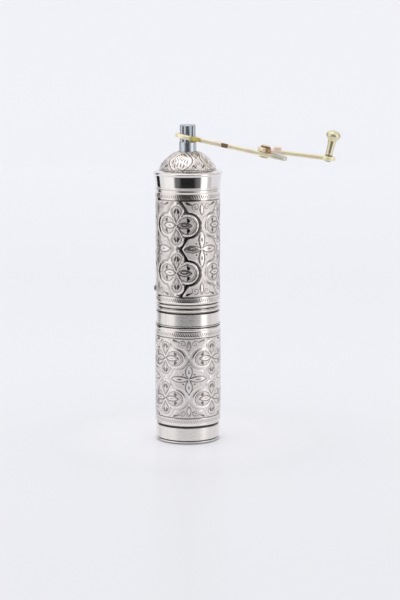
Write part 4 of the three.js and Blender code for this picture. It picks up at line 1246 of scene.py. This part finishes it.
def yellow_passivate(part):
    """Zinc plate with a yellow passivate whose tint shifts to rose and green, with bands of tint
    and of painted shade.
    """

    def film_and_shade(g, place, sockets):
        for scale, size, start, end, most, tint in PATCHES:
            spread = g.add("ShaderNodeMapping", {"Vector": place, "Scale": scale})
            noise = g.noise(spread.outputs["Vector"], size, 2.0)
            share = g.ranged(noise, start, end, 0.0, most)
            sockets["Base Color"] = g.mixed(share, sockets["Base Color"], tint)
        parts = g.parts(place)
        # Bands across the bars: tints of the layer, and painted shade where BANDS marks it.
        for start, end, soft, tint, sides in BANDS.get(part, ()):
            share = g.math(
                "MULTIPLY",
                g.ranged(parts["X"], (start - soft) * MM, start * MM, 0.0, 1.0),
                g.ranged(parts["X"], end * MM, (end + soft) * MM, 1.0, 0.0),
            )
            if sides:
                off = g.math("ABSOLUTE", parts["Y"])
                for compare, limit in zip(("GREATER_THAN", "LESS_THAN"), sides):
                    share = g.math("MULTIPLY", share, g.math(compare, off, limit * MM))
            sockets["Base Color"] = g.mixed(share, sockets["Base Color"], (*tint, 1))
        return sockets

    color, other = FILMS[part]
    return metal("yellow_passivate_" + part, 0.34, color, other, 0.8, 55, (160, 700, 700),
                 0.02, 0.08, metallic=0.45, extra=film_and_shade)


def plain_metal(name):
    return metal(name, *PLAIN_METALS[name])


def finish_plain_nodes():
    """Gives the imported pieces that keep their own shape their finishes."""
    finishes = {
        "rolled_brass": ("upper_bridge", "lower_bridge", "burr_housing"),
        "hard_steel": ("outer_burr", "inner_burr"),
        "turned_steel": ("bridge_screw_left", "bridge_screw_right", "burr_pin", "head_pin"),
    }
    for finish, nodes in finishes.items():
        for node in nodes:
            mesh = frame["nodes"][node].data
            mesh.materials.clear()
            mesh.materials.append(plain_metal(finish))


# ---- Studio ----

BACKDROP = (0.871, 0.879, 0.922, 1)
EVEN_LIGHT = (0.975, 0.975, 0.99, 1)
CEILING = (0.88, 0.88, 0.88, 1)
CAMERA_PLACE, CAMERA_PITCH, LENS = (0.0091, -1.342, 0.328), math.radians(9.39), 108.4
# The table in metres: radius of its front edge, half its width, where its back starts to
# rise, radius of that bend and height of the back.
TABLE_FRONT, HALF_WIDTH, BACK, BACK_BEND, BACK_TOP = 0.42, 3.2, 2.2, 0.8, 2.4
BOARD_LEVEL = 0.012
# Brightness of the walls round the mill that metal reflects: azimuth from the front,
# positive to the right, and level.
WALLS = (
    (-180, 0.92), (-151, 0.92), (-149, 0.03), (-112, 0.03), (-110, 0.98), (-57, 1.05),
    (-46, 1.0), (-30, 0.10), (18, 0.10), (30, 0.5), (46, 0.8), (53, 1.8), (66, 1.7),
    (77, 0.66), (134, 0.50), (140, 0.95), (180, 0.92),
)


def studio_world():
    """Pale to the camera, even to matt surfaces, and walls of WALLS to glossy ones.

    High above, all walls fade into one even ceiling.
    """
    world = bpy.data.worlds.new("studio")
    bpy.context.scene.world = world
    world.use_nodes = True
    g = Graph(world.node_tree)
    world.node_tree.nodes.clear()
    parts = g.parts(g.add("ShaderNodeTexCoord").outputs["Generated"])
    azimuth = g.math("ARCTAN2", parts["X"], g.math("MULTIPLY", parts["Y"], -1.0))
    ramp = g.add("ShaderNodeValToRGB", {0: g.math("MULTIPLY_ADD", azimuth, 1 / FULL_TURN, 0.5)})
    stops = ramp.color_ramp.elements
    while len(stops) < len(WALLS):
        stops.new(0.5)
    for stop, (degrees, level) in zip(stops, WALLS):
        stop.position = degrees / 360 + 0.5
        stop.color = (level, level, level, 1)
    high_up = g.ranged(parts["Z"], 0.42, 0.62, 0.0, 1.0)
    walls = g.mixed(high_up, ramp.outputs["Color"], CEILING)
    glossy, even, seen = (
        g.add("ShaderNodeBackground", {"Color": color, "Strength": 1.0}).outputs[0]
        for color in (walls, EVEN_LIGHT, BACKDROP)
    )
    rays = g.add("ShaderNodeLightPath").outputs
    matt = g.mixed_shader(rays["Is Glossy Ray"], even, glossy)
    both = g.mixed_shader(rays["Is Camera Ray"], matt, seen)
    g.add("ShaderNodeOutputWorld", {"Surface": both})


def studio_material(name, color, roughness, specular):
    """A matt material, with the graph that may change it and its shader."""
    material = bpy.data.materials.new(name)
    material.use_nodes = True
    g = Graph(material.node_tree)
    shader = material.node_tree.nodes["Principled BSDF"]
    shader.inputs["Base Color"].default_value = (*color, 1)
    shader.inputs["Roughness"].default_value = roughness
    shader.inputs["Specular IOR Level"].default_value = specular
    return material, g, shader


def studio_table():
    """A pale table with a round front edge, about the mill, that sweeps up far behind.

    Its paper glows a little, round the mill's foot and more with the distance.
    """
    edge = arc(0, 0, TABLE_FRONT, 180, 360, 48)
    sweep = arc(BACK, BACK_BEND, BACK_BEND, -90, 0, 24)
    profile = np.vstack([[[0.0, 0.0]], sweep, [[BACK + BACK_BEND, BACK_TOP]]])
    front = np.column_stack([edge, np.zeros(len(edge))])
    rear = np.array([(x, y, z) for y, z in profile for x in (-HALF_WIDTH, HALF_WIDTH)])
    count, start = len(profile), len(front)
    faces = [[start + 2 * i, start + 2 * i + 1, start + 2 * i + 3, start + 2 * i + 2]
             for i in range(count - 1)]
    faces.append(list(range(start)))
    table = mesh_object("studio_table", np.vstack([front, rear]) / MM, faces)
    paper, g, shader = studio_material("studio_paper", (0.795, 0.80, 0.825), 0.25, 0.015)
    place = g.object_place()
    back = g.parts(place)["Y"]
    from_axis = g.add("ShaderNodeVectorMath", {0: place}, operation="LENGTH").outputs["Value"]
    glow = g.ranged(back, -TABLE_FRONT, 0.1, 0.0, 0.04)
    glow = g.math("ADD", glow, g.ranged(from_axis, 0.024, 0.10, 0.10, 0.0))
    glow = g.math("ADD", glow, g.ranged(back, 0.8, 2.6, 0.0, 0.085))
    shader.inputs["Emission Color"].default_value = (1.0, 1.0, 1.03, 1)
    g.link(glow, shader.inputs["Emission Strength"])
    table.data.materials.append(paper)


def dark_board(name, near, far, bottom, top, edges=None):
    """An upright board that only glossy metal reflects, between two points of the floor.

    Past two distances from its middle, if given, it grows paler.
    """
    corners = [(*near, bottom), (*far, bottom), (*far, top), (*near, top)]
    board = mesh_object(name, np.array(corners) / MM, [[0, 1, 2, 3]])
    cloth, g, shader = studio_material(name + "_cloth", (BOARD_LEVEL,) * 3, 0.9, 0.1)
    if edges:
        across = g.math("ABSOLUTE", g.parts(g.object_place())["X"])
        pale = g.ranged(across, edges[0] - 0.1, edges[0] + 0.1, BOARD_LEVEL, 0.16)
        paler = g.ranged(across, edges[1] - 0.1, edges[1] + 0.1, 0.0, 0.69)
        g.link(g.math("ADD", pale, paler), shader.inputs["Base Color"])
    board.data.materials.append(cloth)
    board.visible_camera = board.visible_diffuse = board.visible_shadow = False


def studio_lights():
    """One large soft light over the table, aimed at the mill."""
    data = bpy.data.lights.new("top_light", "AREA")
    data.shape, data.size, data.energy = "SQUARE", 1.6, 4
    light = bpy.data.objects.new("top_light", data)
    bpy.context.scene.collection.objects.link(light)
    light.location = (-0.3, 0.0, 2.0)
    light.rotation_euler = (0, math.radians(-8.5), 0)


def studio_camera():
    """A long lens that looks along +Y and a little down."""
    data = bpy.data.cameras.new("camera")
    data.lens, data.sensor_width = LENS, 36
    data.clip_start, data.clip_end = 0.05, 50
    camera = bpy.data.objects.new("camera", data)
    bpy.context.scene.collection.objects.link(camera)
    camera.location = CAMERA_PLACE
    camera.rotation_euler = (math.pi / 2 - CAMERA_PITCH, 0, 0)
    bpy.context.scene.camera = camera


# ---- Everything ----

studio_camera()
studio_world()
studio_table()
dark_board("front_board", (-0.9, -0.75), (0.9, -0.75), -0.6, 0.084, (0.4, 0.8))
dark_board("left_board", (-0.552, 0.234), (-0.424, 0.424), 0.0, 0.16)
studio_lights()
bpy.context.scene.view_settings.view_transform = "Standard"

for build in (
    cup_base, cup_tube, barrel_collar, barrel_tube, side_screw, lid_skirt, lid_dome,
    drive_head, crank_inner_arm, crank_outer_arm, hinge_rivet, hinge_washer, knob_spindle,
    knob_washer, knob, drive_shaft, upper_bush,
):
    build()
shaft_ring("shaft_collar")
shaft_ring("spring_washer")
for build in (thrust_ball, shaft_spring, adjusting_screw, lock_nut, finish_plain_nodes):
    build()
